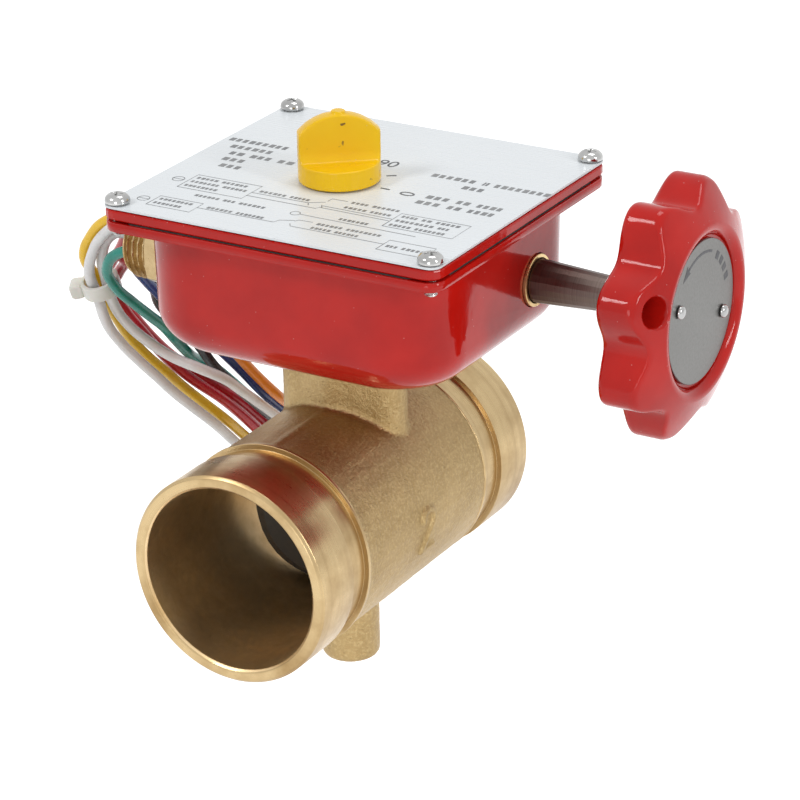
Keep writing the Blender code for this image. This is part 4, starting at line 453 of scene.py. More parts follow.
def applied(thing, helpers=()):
    """Give back the mesh with its modifiers applied, and remove the temporary objects."""
    data = evaluated(thing)
    for old in (thing, *helpers):
        bpy.data.meshes.remove(old.data)
    return data


def combined(data, tools):
    """Cut the tools out of a mesh."""
    base = made_object(data)
    helpers = [made_object(tool) for tool in tools]
    for helper in helpers:
        modifier = base.modifiers.new("combine", "BOOLEAN")
        with_settings(modifier, operation="DIFFERENCE", solver="EXACT", object=helper)
    return applied(base, helpers)


def remeshed(data, voxel):
    base = made_object(data)
    with_settings(base.modifiers.new("remesh", "REMESH"), mode="VOXEL", voxel_size=voxel)
    return applied(base)


def relaxed(data, passes, held=None):
    """Smooth a mesh a few times, except where the held test says to leave it."""
    free = [vert for vert in data.verts if held is None or not held(vert.co)]
    for _ in range(passes):
        bmesh.ops.smooth_vert(data, verts=free, factor=0.5, use_axis_x=True, use_axis_y=True, use_axis_z=True)
    return data


def gathered(parts):
    """Put several meshes into one."""
    whole = bmesh.new()
    for part in parts:
        mesh = bpy.data.meshes.new("part")
        part.to_mesh(mesh)
        part.free()
        whole.from_mesh(mesh)
        bpy.data.meshes.remove(mesh)
    return whole


def finish_with(piece, material):
    piece.data.materials.clear()
    piece.data.materials.append(material)


def add_piece(name, data, body, slot, material=None, smooth=32.0, replaces=None):
    """Make a piece of a bmesh, with its body and its material, where the slot names the material when no
    other is given, and hide the node that it stands for.
    """
    piece = made_object(data, name)
    if smooth:
        piece.data.shade_smooth()
        piece.data.set_sharp_from_angle(angle=math.radians(smooth))
    finish_with(piece, materials[material or slot])
    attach(piece, body)
    if replaces is not None:
        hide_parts(replaces)
    return piece


# Lead wires

WIRE_DIAMETER = 0.0032
WIRE_RING = 0.0055
WIRE_START = -0.0330
WIRE_STEP = 0.0085
NIPPLE_MOUTH = Vector((-0.0620, -0.0060, 0.0678))
MOUTH_OVERLAP = 0.001
CURVE_PARTS = 24
# Where each wire stands in the nipple, as degrees round its axis from +Y to +Z or None for the middle one,
# then the places that it passes, in millimetres from the nipple's mouth
WIRES = {
    "yellow": (
        82.0,
        (-6.9, 0.6, 6.1), (-13.6, 0.7, 2.6), (-20.9, 2.0, -5.3), (-22.7, 3.2, -11.0), (-22.0, 6.4, -16.4),
        (-21.0, 8.4, -20.9), (-20.2, 11.0, -28.3), (-17.8, 19.0, -42.1), (-13.0, 25.9, -51.8),
        (-8.2, 33.8, -62.0), (-1.1, 39.9, -70.8), (-0.8, 65.4, -95.0), (-7.3, 87.7, -112.1),
        (-13.4, 104.9, -130.7), (-17.6, 114.3, -149.5), (-20.1, 116.5, -165.0),
    ),
    "white_a": (
        124.0,
        (-6.0, -3.0, 4.3), (-10.7, -2.2, 1.3), (-16.4, -0.7, -5.5), (-19.7, 0.6, -12.3),
        (-20.4, 3.2, -17.3), (-20.2, 4.8, -22.1), (-18.6, 5.3, -29.1), (-16.4, 11.0, -39.3),
        (-11.2, 18.0, -49.7), (-6.8, 26.0, -60.2), (-0.8, 33.1, -69.3), (-0.3, 60.0, -95.6),
        (-7.4, 81.9, -112.1), (-14.1, 99.3, -129.8), (-18.6, 108.9, -147.9), (-21.2, 111.3, -163.0),
    ),
    "white_b": (
        None,
        (-7.4, 1.1, 0.8), (-12.9, 2.6, -2.0), (-16.2, 3.1, -7.1), (-17.4, 4.5, -11.4), (-17.3, 5.4, -16.4),
        (-17.3, 6.8, -21.3), (-16.6, 9.4, -28.3), (-13.4, 14.1, -36.0), (-7.6, 19.7, -43.3),
        (-1.1, 22.7, -46.9), (6.3, 30.7, -53.5), (9.9, 64.3, -83.1), (5.7, 86.1, -102.0),
        (0.6, 103.7, -124.2), (-3.3, 112.9, -145.5), (-5.7, 114.8, -162.1),
    ),
    "red_a": (
        240.0,
        (-5.2, -1.3, -6.0), (-10.7, 3.3, -7.6), (-13.9, 10.9, -12.6), (-23.0, 17.0, -23.7),
        (-22.5, 20.2, -31.5), (-16.5, 23.0, -40.8), (-13.3, 30.2, -51.1), (-7.4, 37.2, -60.2),
        (-2.1, 44.6, -68.4), (2.8, 64.6, -90.9), (-2.8, 86.0, -108.5), (-8.5, 103.5, -128.1),
        (-12.4, 112.7, -147.7), (-14.9, 114.7, -163.5),
    ),
    "red_b": (
        41.0,
        (-6.1, 5.3, 3.3), (-12.8, 9.6, 0.5), (-16.7, 15.5, -7.4), (-28.7, 21.8, -23.5),
        (-27.2, 26.4, -32.4), (-19.7, 28.2, -42.0), (-15.2, 35.0, -51.7), (-9.1, 42.0, -60.2),
        (-2.3, 49.4, -68.4), (1.4, 70.9, -91.1), (-3.7, 92.6, -109.1), (-8.3, 109.4, -129.3),
        (-11.9, 118.4, -149.5), (-14.3, 120.3, -165.7),
    ),
    "green": (
        198.0,
        (-3.7, -5.3, -2.7), (-6.4, -4.9, -4.1), (-8.7, -4.4, -6.4), (-10.4, -3.4, -9.8),
        (-10.8, -1.6, -13.3), (-10.2, 1.5, -17.6), (-8.0, 9.0, -25.7), (-6.8, 18.0, -34.0),
        (-7.0, 27.7, -44.3), (-7.8, 37.7, -52.6), (-5.9, 44.7, -57.7), (-3.5, 52.8, -66.6),
        (0.6, 76.5, -90.7), (-4.1, 98.6, -109.4), (-7.9, 114.4, -130.3), (-11.4, 123.1, -151.1),
        (-13.8, 125.0, -167.5),
    ),
    "black": (
        321.0,
        (-5.2, 5.7, -5.0), (-8.2, 9.3, -8.8), (-8.3, 16.0, -15.3), (-11.9, 23.0, -28.9),
        (-9.2, 28.9, -36.8), (-5.8, 32.9, -43.9), (-3.1, 33.5, -48.8), (0.9, 35.3, -53.3),
        (3.7, 41.7, -61.4), (5.5, 68.3, -86.7), (0.9, 90.0, -105.2), (-3.7, 107.2, -126.6),
        (-7.0, 115.9, -147.4), (-9.2, 117.7, -163.8),
    ),
    "blue": (
        281.0,
        (-4.8, 3.1, -7.7), (-7.6, 6.5, -11.4), (-8.4, 13.3, -18.9), (-6.1, 19.9, -27.4),
        (-3.3, 25.9, -36.2), (-0.9, 34.6, -44.4), (2.7, 42.7, -54.5), (7.4, 48.1, -63.5),
        (5.9, 73.0, -85.5), (1.2, 95.4, -105.2), (-2.6, 112.2, -127.4), (-5.8, 120.7, -148.9),
        (-8.1, 122.5, -165.6),
    ),
    "orange": (
        1.0,
        (-4.8, 7.0, -0.5), (-8.5, 11.0, -2.3), (-9.8, 17.7, -7.5), (-8.6, 28.0, -28.5), (-1.3, 33.1, -37.2),
        (4.4, 36.0, -44.9), (7.8, 42.0, -54.3), (13.2, 49.0, -64.6), (8.2, 74.1, -82.4),
        (4.6, 96.3, -102.4), (1.5, 112.9, -125.6), (-1.5, 121.2, -148.0), (-3.7, 122.8, -165.0),
    ),
}


def smooth_route(points, step):
    """Read evenly spaced points from a Catmull-Rom curve through the route's own points."""
    path = [Vector(point) for point in points]
    ends = [2 * path[0] - path[1]] + path + [2 * path[-1] - path[-2]]
    fine = []
    for index in range(1, len(ends) - 2):
        before, start, end, after = ends[index - 1:index + 3]
        for part in range(CURVE_PARTS):
            t = part / CURVE_PARTS
            fine.append(0.5 * (
                2 * start + (end - before) * t + (2 * before - 5 * start + 4 * end - after) * t * t
                + (3 * start - before - 3 * end + after) * t * t * t
            ))
    fine.append(path[-1])
    length = sum((b - a).length for a, b in zip(fine, fine[1:]))
    count = max(4, round(length / step))
    spaced = [fine[0]]
    travelled = 0.0
    for a, b in zip(fine, fine[1:]):
        piece = (b - a).length
        while len(spaced) < count and travelled + piece >= length * len(spaced) / count:
            share = (length * len(spaced) / count - travelled) / piece
            spaced.append(a.lerp(b, share))
        travelled += piece
    spaced.append(fine[-1])
    return spaced


def wire_route(slot, places):
    """The straight run through the nipple, then the places outside it."""
    end, y, z = NIPPLE_MOUTH
    if slot is not None:
        y += WIRE_RING * math.cos(math.radians(slot))
        z += WIRE_RING * math.sin(math.radians(slot))
    route = [(WIRE_START, y, z), ((WIRE_START + end) / 2, y, z), (end + MOUTH_OVERLAP, y, z)]
    return route + [NIPPLE_MOUTH + MILLIMETRE * Vector(place) for place in places]


def add_wires(tie):
    for name, (slot, *places) in WIRES.items():
        points = smooth_route(wire_route(slot, places), WIRE_STEP)
        data = bpy.data.curves.new("lead_" + name, "CURVE")
        with_settings(
            data, dimensions="3D", bevel_depth=WIRE_DIAMETER / 2, bevel_resolution=3, resolution_u=6,
            use_fill_caps=True,
        )
        spline = data.splines.new("BEZIER")
        spline.bezier_points.add(len(points) - 1)
        for target, point in zip(spline.bezier_points, points):
            with_settings(target, co=point, handle_left_type="AUTO", handle_right_type="AUTO")
        lead = linked("lead_" + name, data)
        finish = "wire_" + name.split("_")[0]
        data.materials.append(materials[finish])
        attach(lead, "valve")
        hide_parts("wire_" + name)
        bpy.context.view_layer.update()


# Valve body

PIPE_RADIUS = 0.03015
BORE_RADIUS = 0.0263
FRONT_END = -0.0628
REAR_END = 0.0515
END_CHAMFER = 0.0008
END_EDGE = 0.00022
CAST_FRONT = -0.03787
CAST_REAR = 0.0267
CAST_RADIUS = 0.0297
GROOVE_RADIUS = 0.028575
GROOVE_FRONT = (-0.04692, -0.03897)
GROOVE_REAR = (0.02767, 0.03562)
STEM_HOLE_RADIUS = 0.0065
STEM_HOLE_REACH = 0.034
LINER_RADIUS = 0.0271


def add_machined_ends():
    """One turned piece: both grooved ends and the bore between them."""
    mouth = BORE_RADIUS + END_CHAMFER
    edge = PIPE_RADIUS - END_CHAMFER
    front = FRONT_END + END_CHAMFER
    rear = REAR_END - END_CHAMFER
    under = CAST_RADIUS - 0.0009
    proud = CAST_RADIUS + 0.00006
    profile = [
        (mouth, FRONT_END), (edge, FRONT_END), (PIPE_RADIUS, front),
        (PIPE_RADIUS, GROOVE_FRONT[0]), (GROOVE_RADIUS, GROOVE_FRONT[0]), (GROOVE_RADIUS, GROOVE_FRONT[1]),
        (PIPE_RADIUS, GROOVE_FRONT[1]), (PIPE_RADIUS, CAST_FRONT), (under, CAST_FRONT + 0.0008),
        (LINER_RADIUS, CAST_FRONT + 0.0030), (LINER_RADIUS, CAST_REAR - 0.0020), (under, CAST_REAR - 0.0004),
        (proud, CAST_REAR), (proud, GROOVE_REAR[0]), (GROOVE_RADIUS, GROOVE_REAR[0]),
        (GROOVE_RADIUS, GROOVE_REAR[1]), (PIPE_RADIUS, GROOVE_REAR[1]), (PIPE_RADIUS, rear),
        (edge, REAR_END), (mouth, REAR_END), (BORE_RADIUS, rear), (BORE_RADIUS, front),
    ]
    data = along_y(turned(rounded(profile, END_EDGE, 3, closed=True), 224, closed=True))
    hole = rod(STEM_HOLE_RADIUS, -STEM_HOLE_REACH, STEM_HOLE_REACH, 40)
    add_piece(
        "body_ends_and_bore", combined(data, [hole]), "valve", "bronze", "machined_bronze",
        replaces="valve_body",
    )


# The pipe's size as a plain cast numeral: its strokes in millimetres, read along +Y and up the pipe's side
SIZE_MARK = (
    (-2.9, 3.4), (-2.4, 4.9), (-1.2, 5.8), (0.4, 6.0), (1.9, 5.4), (2.7, 4.1), (2.6, 2.6), (1.6, 0.8),
    (-0.6, -1.8), (-2.4, -4.2), (-3.2, -6.0), (0.0, -6.0), (3.3, -6.0),
)
SIZE_MARK_PLACE = (-0.0055, math.radians(-4.0))
SIZE_MARK_REACH = 0.009
SIZE_MARK_HEIGHT = 0.0008
SIZE_MARK_HALF_WIDTH = 0.0012
SIZE_MARK_STEEPNESS = 2.2
# Where the casting ends inside the machined ends, and which side of there goes
CAST_CUTS = ((CAST_FRONT - 0.0005, -1.0), (CAST_REAR + 0.0006, 1.0))
# The casting's bore wall is sunk in the liner: from how far outside it, and how deep
LINER_REACH = 0.0006
LINER_DEPTH = 0.0002
CAST_VOXEL = 0.00055
CAST_TOP_MARGIN = 0.0006
CAST_PASSES = 7
# The skin's waves: how many to a metre, and how deep
CAST_SKIN = ((260.0, 0.00007), (900.0, 0.00005))


def size_mark_rise(place):
    """How far the cast numeral stands proud of the pipe at one place."""
    if place.x < 0.02:
        return 0.0
    along, turn = SIZE_MARK_PLACE
    spot = Vector((place.y - along, (math.atan2(place.z, place.x) - turn) * CAST_RADIUS))
    if spot.length > SIZE_MARK_REACH:
        return 0.0
    nearest = SIZE_MARK_REACH
    for start, end in zip(SIZE_MARK, SIZE_MARK[1:]):
        start = Vector(start) * MILLIMETRE
        stroke = Vector(end) * MILLIMETRE - start
        share = min(1.0, max(0.0, (spot - start).dot(stroke) / stroke.length_squared))
        nearest = min(nearest, (spot - start - stroke * share).length)
    share = max(0.0, 1 - nearest / SIZE_MARK_HALF_WIDTH)
    return SIZE_MARK_HEIGHT * min(1.0, share * SIZE_MARK_STEEPNESS)


def add_casting():
    """The sand-cast middle: the CAD body between the machined ends, with soft edges and a rough skin."""
    data = from_node("valve_body")
    for place, side in CAST_CUTS:
        cut = bmesh.ops.bisect_plane(
            data, geom=[*data.verts, *data.edges, *data.faces], plane_co=(0.0, place, 0.0),
            plane_no=(0.0, side, 0.0), clear_outer=True,
        )
        edges = [part for part in cut["geom_cut"] if isinstance(part, bmesh.types.BMEdge)]
        bmesh.ops.holes_fill(data, edges=edges)
    data = remeshed(data, CAST_VOXEL)
    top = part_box("valve_body")[1][2] - CAST_TOP_MARGIN
    relaxed(data, CAST_PASSES, held=lambda place: place.z > top)
    data.normal_update()
    for vert in data.verts:
        place = vert.co.copy()
        radius = math.hypot(place.x, place.z)
        if radius < LINER_RADIUS + LINER_REACH and abs(place.z) < LINER_RADIUS:
            share = (LINER_RADIUS - LINER_DEPTH) / max(radius, MILLIMETRE)
            vert.co.x *= share
            vert.co.z *= share
        elif place.z <= top:
            rise = sum(depth * noise.noise(place * scale) for scale, depth in CAST_SKIN)
            vert.co += vert.normal * (rise + size_mark_rise(place))
    add_piece("body_casting", data, "valve", "bronze", "cast_bronze", smooth=60.0, replaces="valve_body")


# Gear housing

HOUSING = (-0.0471, 0.0566, -0.0468, 0.0494)
BOWL_INSET = 0.0045
BOWL_CORNER = 0.0200
BOWL_LEAST_CORNER = 0.0040
BOWL_ROUND = 0.0114
BOWL_DRAFT = 0.0008
BOWL_BOTTOM = 0.0508
FLANGE_BOTTOM = 0.0870
FLANGE_TOP = 0.0896
FLANGE_CORNER = 0.0050
SHAFT_AXIS = (0.0159, 0.0688)
NIPPLE_AXIS = (-0.0060, 0.0678)
COAT = 0.00004
SKIN = 0.0006
CORNER_STEPS = 14
# Holes in the bowl's floor for the stem and the two neck bolts: place along X, and radius
FLOOR_HOLES = ((0.0, 0.0048), (-0.01335, 0.0028), (0.01335, 0.0028))
# Holes in the bowl's wall: radius, reach to each side and place along X
SHAFT_HOLE = (0.00765, 0.02, 0.0521)
NIPPLE_HOLE = (0.01012, 0.01, -0.0426)
SCREW_HOLE_RADIUS = 0.00205
HOLE_MARGIN = 0.002


def bowl_ring(inset, shrink, height):
    lean = BOWL_DRAFT * (FLANGE_TOP - height) / (FLANGE_TOP - BOWL_BOTTOM)
    edge = BOWL_INSET + inset + shrink + lean
    corner = max(BOWL_CORNER - inset - 0.5 * shrink - lean, BOWL_LEAST_CORNER)
    left, right, front, back = HOUSING
    return rectangle(left + edge, right - edge, front + edge, back - edge, corner, height, CORNER_STEPS)


def bowl_rings(inset, bottom, top):
    """Rings from the floor, round the bottom edge and up the leaning wall."""
    bend = BOWL_ROUND - inset
    rings = []
    for index in range(CORNER_STEPS + 1):
        turn = math.pi / 2 * index / CORNER_STEPS
        rings.append(bowl_ring(inset, bend * (1 - math.sin(turn)), bottom + bend * (1 - math.cos(turn))))
    low = bottom + bend
    return rings + [bowl_ring(inset, 0.0, low + (top - low) * share) for share in (0.25, 0.5, 0.75, 1.0)]


def add_housing_paint():
    """The enamel coat on the bowl's outside, over the CAD solid."""
    top = FLANGE_BOTTOM + 0.0004
    outer = bowl_rings(-COAT, BOWL_BOTTOM - COAT, top)
    inner = bowl_rings(SKIN, BOWL_BOTTOM + SKIN, top)
    tools = []
    for (radius, reach, x), (y, z) in ((SHAFT_HOLE, SHAFT_AXIS), (NIPPLE_HOLE, NIPPLE_AXIS)):
        tools.append(along_x(rod(radius, -reach, reach, 64), (x, y, z)))
    for x, radius in FLOOR_HOLES:
        tools.append(moved(rod(radius, BOWL_BOTTOM - HOLE_MARGIN, BOWL_BOTTOM + HOLE_MARGIN), (x, 0.0, 0.0)))
    data = combined(lofted(outer + list(reversed(inner))), tools)
    add_piece("housing_paint", data, "valve", "red_enamel", smooth=40.0)


def add_flange_paint():
    """The enamel on the flange: its underside, its edge and the land outside the gasket."""
    under = FLANGE_BOTTOM - COAT
    over = FLANGE_TOP + COAT / 2
    land = FLANGE_TOP - 0.0009
    section = [
        (0.0003, under), (-COAT, FLANGE_BOTTOM + 0.0003), (-COAT, FLANGE_TOP - 0.0003), (0.0003, over),
        (0.0006, over), (0.0006, land), (0.0058, land), (0.0058, under),
    ]
    left, right, front, back = HOUSING
    rings = []
    for inset, height in section:
        corner = FLANGE_CORNER - inset if inset < 0.001 else BOWL_CORNER - (inset - BOWL_INSET)
        sides = (left + inset, right - inset, front + inset, back - inset)
        rings.append(rectangle(*sides, corner, height, CORNER_STEPS))
    holes = []
    for x, y in screw_places():
        hole = rod(SCREW_HOLE_RADIUS, FLANGE_BOTTOM - HOLE_MARGIN / 2, FLANGE_TOP + HOLE_MARGIN / 2)
        holes.append(moved(hole, (x, y, 0.0)))
    data = combined(lofted(rings, closed=True), holes)
    add_piece("flange_paint", data, "valve", "red_enamel", smooth=50.0)


# Cover screws, each with the turn of its cross recess

SCREW_INSET = 0.00365
SCREW_SEAT = 0.0943
SCREW_TURNS = {"front_left": 0.35, "back_left": 1.1, "front_right": 0.75, "back_right": 0.15}
SCREW_END = -0.0090
THREAD_PITCH = 0.0007
THREAD_RADII = (0.00145, 0.00175)
SCREW_HEAD = (
    (0.00175, 0.0), (0.00345, 0.0), (0.0035, 0.0007), (0.00325, 0.0016), (0.0024, 0.00235), (0.0011, 0.0026),
    (0.0002, 0.0026),
)
# Half width, reach and height of the recess, from its floor up
SCREW_RECESS = ((0.00018, 0.0006, 0.0008), (0.00036, 0.0015, 0.0020), (0.00042, 0.0020, 0.0029))
SCREW_BEVEL = 0.00007
SCREW_BEVEL_TURN = math.radians(42.0)


def screw_places():
    left, right, front, back = HOUSING
    rows = (front + SCREW_INSET, back - SCREW_INSET)
    return [(x, y) for x in (left + SCREW_INSET, right - SCREW_INSET) for y in rows]


def cross_outline(half, reach, height):
    """A plus sign's outline."""
    corner = ((reach, -half), (reach, half), (half, half))
    points = []
    for quarter in range(4):
        turn = Matrix.Rotation(math.pi / 2 * quarter, 2)
        points += [(*(turn @ Vector(point)), height) for point in corner]
    return points


def screw_mesh():
    shank = []
    height = SCREW_END
    while height < -0.0002:
        shank += [(THREAD_RADII[0], height), (THREAD_RADII[1], height + THREAD_PITCH / 2)]
        height += THREAD_PITCH
    recess = lofted([cross_outline(*level) for level in SCREW_RECESS])
    base = made_object(combined(turned(shank + rounded(SCREW_HEAD, 0.0005, 4), 56), [recess]))
    modifier = base.modifiers.new("bevel", "BEVEL")
    with_settings(modifier, width=SCREW_BEVEL, segments=2, limit_method="ANGLE", angle_limit=SCREW_BEVEL_TURN)
    return applied(base)


def add_cover_screws():
    source = screw_mesh()
    for (name, turn), (x, y) in zip(SCREW_TURNS.items(), screw_places()):
        place = Matrix.Translation((x, y, SCREW_SEAT)) @ Matrix.Rotation(turn, 4, "Z")
        add_piece(
            "phillips_screw_" + name, placed(source.copy(), place), "valve", "bright_steel", smooth=38.0,
            replaces="cover_screw_" + name,
        )
    source.free()


# Handwheel

WHEEL_BACK = 0.0868
WHEEL_LOBE_COUNT = 8
WHEEL_PHASE = math.radians(26.4)
WHEEL_HOLE_TURN = WHEEL_PHASE + math.radians(135.0)
WHEEL_HOLE_PLACE = 0.0279
WHEEL_HOLE_RADIUS = 0.0041
WHEEL_HOLE_STEPS = 64
# The hole's rounded mouth: how much wider, and how high above the wheel's front
WHEEL_HOLE_MOUTH = (
    (0.0, -0.0011), (0.00008, -0.0006), (0.00028, -0.00024), (0.00062, -0.00003), (0.00085, 0.0003),
    (0.00085, 0.0030),
)
# Mean radius of the lobed side, and the lobes' height
WHEEL_LOBES = (0.0325, 0.0032)
# Levels from the bore's end round the back to the side, then the recess: height, mean radius, lobe height
WHEEL_CORE = ((0.0121, 0.0049, 0.0), (-0.0045, 0.0049, 0.0), (-0.0045, 0.0090, 0.0), (0.0, 0.0090, 0.0))
WHEEL_RIM = ((0.0, 0.0313, 0.00288), (0.0009, *WHEEL_LOBES), (0.0040, *WHEEL_LOBES))
WHEEL_RECESS = ((0.0160, 0.0225, 0.0), (0.0147, 0.0211, 0.0), (0.0134, 0.0208, 0.0), (0.0134, 0.0195, 0.0))
# The front dome: height and radius, which is cut off where the lobes' straight sides are nearer
WHEEL_DOME = (
    (0.0042, 0.0400), (0.0086, 0.0375), (0.0112, 0.0348), (0.01336, 0.0304), (0.0150, 0.0266),
    (0.0161, 0.0240),
)
WHEEL_DOME_STEP = 0.00016
WHEEL_EDGE = 0.0016
PIN_HOLE_PLACE = 0.00225
PIN_HOLE_RADIUS = 0.0018
PIN_HOLE_REACH = 0.012


def wheel_ring(height, mean, lobe):
    ring = []
    for turn in even_turns(320):
        across, up = on_circle(mean + lobe * math.cos(WHEEL_LOBE_COUNT * (turn - WHEEL_PHASE)), turn)
        ring.append((-up, across, height))
    return ring


def dome_ring(height, radius):
    """One level of the front: the dome, cut by the lobes' sides, with the edge between them run soft."""
    ring = []
    for x, y, _ in wheel_ring(height, *WHEEL_LOBES):
        side = math.hypot(x, y)
        near = max(0.0, 1.0 - abs(radius - side) / WHEEL_EDGE)
        kept = (min(radius, side) - WHEEL_EDGE * near * near / 4) / side
        ring.append((x * kept, y * kept, height))
    return ring


def evened(points, passes):
    """Run the corners of a line of close points soft, with its ends kept."""
    for _ in range(passes):
        middle = [((a + 2 * b + c) / 4, (d + 2 * e + f) / 4)
                  for (a, d), (b, e), (c, f) in zip(points, points[1:], points[2:])]
        points = [points[0], *middle, points[-1]]
    return points


def dome_levels():
    """The dome's levels, close together and with its corners run soft."""
    dome = []
    for (low, outside), (high, inside) in zip(WHEEL_DOME, WHEEL_DOME[1:]):
        count = math.ceil((high - low) / WHEEL_DOME_STEP)
        for index in range(count):
            share = index / count
            dome.append((low + (high - low) * share, outside + (inside - outside) * share))
    return evened([*dome, WHEEL_DOME[-1]], 5)


def dome_height(dome, radius):
    for (low, outside), (high, inside) in zip(dome, dome[1:]):
        if outside >= radius > inside:
            return low + (high - low) * (outside - radius) / (outside - inside)
    return dome[-1][0]


def hole_cutter(dome):
    """Straight hole whose front mouth is rounded over, whatever the slope it opens on."""
    centre_y, centre_x = on_circle(WHEEL_HOLE_PLACE, WHEEL_HOLE_TURN)
    rings = []
    for wider, height in ((0.0004, -0.001), (0.0, 0.0004)):
        ring = circle(WHEEL_HOLE_RADIUS + wider, height, WHEEL_HOLE_STEPS)
        rings.append([(x - centre_x, y + centre_y, height) for x, y, _ in ring])
    for wider, above in WHEEL_HOLE_MOUTH:
        ring = []
        for x, y, _ in circle(WHEEL_HOLE_RADIUS + wider, 0.0, WHEEL_HOLE_STEPS):
            x -= centre_x
            y += centre_y
            ring.append((x, y, dome_height(dome, math.hypot(x, y)) + above))
        rings.append(ring)
    return lofted(rings)


def add_handwheel():
    dome = dome_levels()
    rings = [wheel_ring(*level) for level in rounded(WHEEL_CORE, 0.0005, 3) + rounded(WHEEL_RIM, 0.0012, 5)]
    rings += [dome_ring(*level) for level in dome]
    rings += [wheel_ring(*level) for level in rounded(WHEEL_RECESS, 0.0009, 4)]
    y, z = SHAFT_AXIS
    wheel = along_x(combined(lofted(rings), [hole_cutter(dome)]), (WHEEL_BACK, y, z))
    pin_hole = rod(PIN_HOLE_RADIUS, z - PIN_HOLE_REACH, z + PIN_HOLE_REACH, 24)
    wheel = combined(wheel, [moved(pin_hole, (WHEEL_BACK - PIN_HOLE_PLACE, y, 0.0))])
    add_piece("handwheel_casting", wheel, "wheel", "red_enamel", smooth=45.0, replaces="handwheel")


# The wheel's label disc, its rivets and its print

DISC_BACK = 0.1005
DISC_FRONT = 0.1013
DISC_THICKNESS = 0.0008
DISC_RADIUS = 0.0198
DISC_EDGE = 0.00012
RIVET_SEAT = 0.1016
RIVET_PLACE = 0.0140
RIVET_HOLE_RADIUS = 0.0013
RIVET_PROFILE = (
    (0.0010, -0.0041), (0.0010, 0.0), (0.0019, 0.0), (0.0019, 0.00022), (0.00165, 0.0008), (0.0009, 0.00118),
    (0.0001, 0.0012),
)
PRINT_LIFT = 0.00002
PRINT_THICKNESS = 0.00002
# Radius and width in millimetres, and turns in degrees, of the arrow and of the bars that stand for words
ARROW_RADIUS = 16.3
ARROW_WIDTH = 0.75
ARROW_TURNS = (68.0, 120.0)
ARROW_TIP = 134.0
ARROW_NOTCH = 0.12
BAR_RADIUS = 15.9
BAR_WIDTH = 2.3
BAR_TURNS = ((57.0, 50.0), (45.5, 38.5), (34.0, 27.0), (22.5, 15.5))


def add_wheel_disc():
    """The grey disc in the wheel's recess, and its two dome rivets."""
    inner = DISC_RADIUS - DISC_EDGE
    profile = [
        (0.0002, 0.0), (inner, 0.0), (DISC_RADIUS, DISC_EDGE), (DISC_RADIUS, DISC_THICKNESS - DISC_EDGE),
        (inner, DISC_THICKNESS), (0.0002, DISC_THICKNESS),
    ]
    places = [on_circle(RIVET_PLACE, turn) for turn in (WHEEL_HOLE_TURN, WHEEL_HOLE_TURN + math.pi)]
    holes = [moved(rod(RIVET_HOLE_RADIUS, -0.001, 0.002, 24), (-up, across, 0.0)) for across, up in places]
    y, z = SHAFT_AXIS
    disc = along_x(combined(turned(profile, 160), holes), (DISC_BACK, y, z))
    add_piece("wheel_disc", disc, "wheel", "label_grey", replaces="wheel_label")
    dome = rounded(RIVET_PROFILE, 0.0003, 4)
    for name, (across, up) in zip(("rivet_upper", "rivet_lower"), places):
        rivet = along_x(turned(dome, 40), (RIVET_SEAT, y + across, z + up))
        add_piece("dome_" + name, rivet, "wheel", "bright_steel", replaces="label_" + name)


def ribbon(points, width, to_place):
    """A line of one width through flat points, as a thin printed strip."""
    rings = []
    for index, point in enumerate(points):
        before = Vector(points[max(index - 1, 0)])
        after = Vector(points[min(index + 1, len(points) - 1)])
        side = (after - before).normalized().orthogonal() * (width / 2)
        rings.append(slab((Vector(point) + side, Vector(point) - side), to_place))
    return lofted(rings)


def slab(edge, to_place):
    """The lower and upper corners of a printed line's two sides."""
    left, right = edge
    return [to_place(*left, 0.0), to_place(*right, 0.0), to_place(*right, 1.0), to_place(*left, 1.0)]


def on_wheel(across, up, level):
    """Flat places on the wheel's disc: across runs along +Y and up along +Z, in millimetres."""
    y, z = SHAFT_AXIS
    height = DISC_FRONT + PRINT_LIFT + PRINT_THICKNESS * level
    return (height, y + across * MILLIMETRE, z + up * MILLIMETRE)


def wheel_arc(radius, start, end, count):
    turns = [start + (end - start) * index / count for index in range(count + 1)]
    return [on_circle(radius, math.radians(turn)) for turn in turns]


def add_wheel_print():
    """A turning arrow, and bars where the disc carries words."""
    arc = wheel_arc(ARROW_RADIUS, *ARROW_TURNS, 24)
    tip = Vector(on_circle(ARROW_RADIUS, math.radians(ARROW_TIP)))
    base = Vector(arc[-1])
    side = (tip - base).orthogonal().normalized() * (2 * ARROW_WIDTH)
    back = base + (base - tip) * ARROW_NOTCH
    head = (tip, back + side, base, back - side)
    parts = [ribbon(arc, ARROW_WIDTH, on_wheel)]
    parts.append(lofted([[on_wheel(*point, level) for point in head] for level in (0.0, 1.0)]))
    for turns in BAR_TURNS:
        parts.append(ribbon(wheel_arc(BAR_RADIUS, *turns, 6), BAR_WIDTH, on_wheel))
    add_piece("wheel_print", gathered(parts), "wheel", "label_grey", "ink_black", smooth=0.0)


# Indicator knob

KNOB_VOXEL = 0.00024
KNOB_PASSES = 5
KNOB_SEAT_MARGIN = 0.0003
KNOB_WAVES = 420.0
KNOB_WAVE_DEPTH = 0.000035


def add_knob():
    """The indicator knob with its edges run soft, as a painted casting has them."""
    data = relaxed(remeshed(from_node("indicator_knob"), KNOB_VOXEL), KNOB_PASSES)
    data.normal_update()
    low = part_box("indicator_knob")[0][2]
    for vert in data.verts:
        if vert.co.z > low + KNOB_SEAT_MARGIN:
            vert.co += vert.normal * (KNOB_WAVE_DEPTH * noise.noise(vert.co * KNOB_WAVES))
    add_piece("knob_casting", data, "stem", "yellow_enamel", smooth=60.0, replaces="indicator_knob")


# Conduit nipple

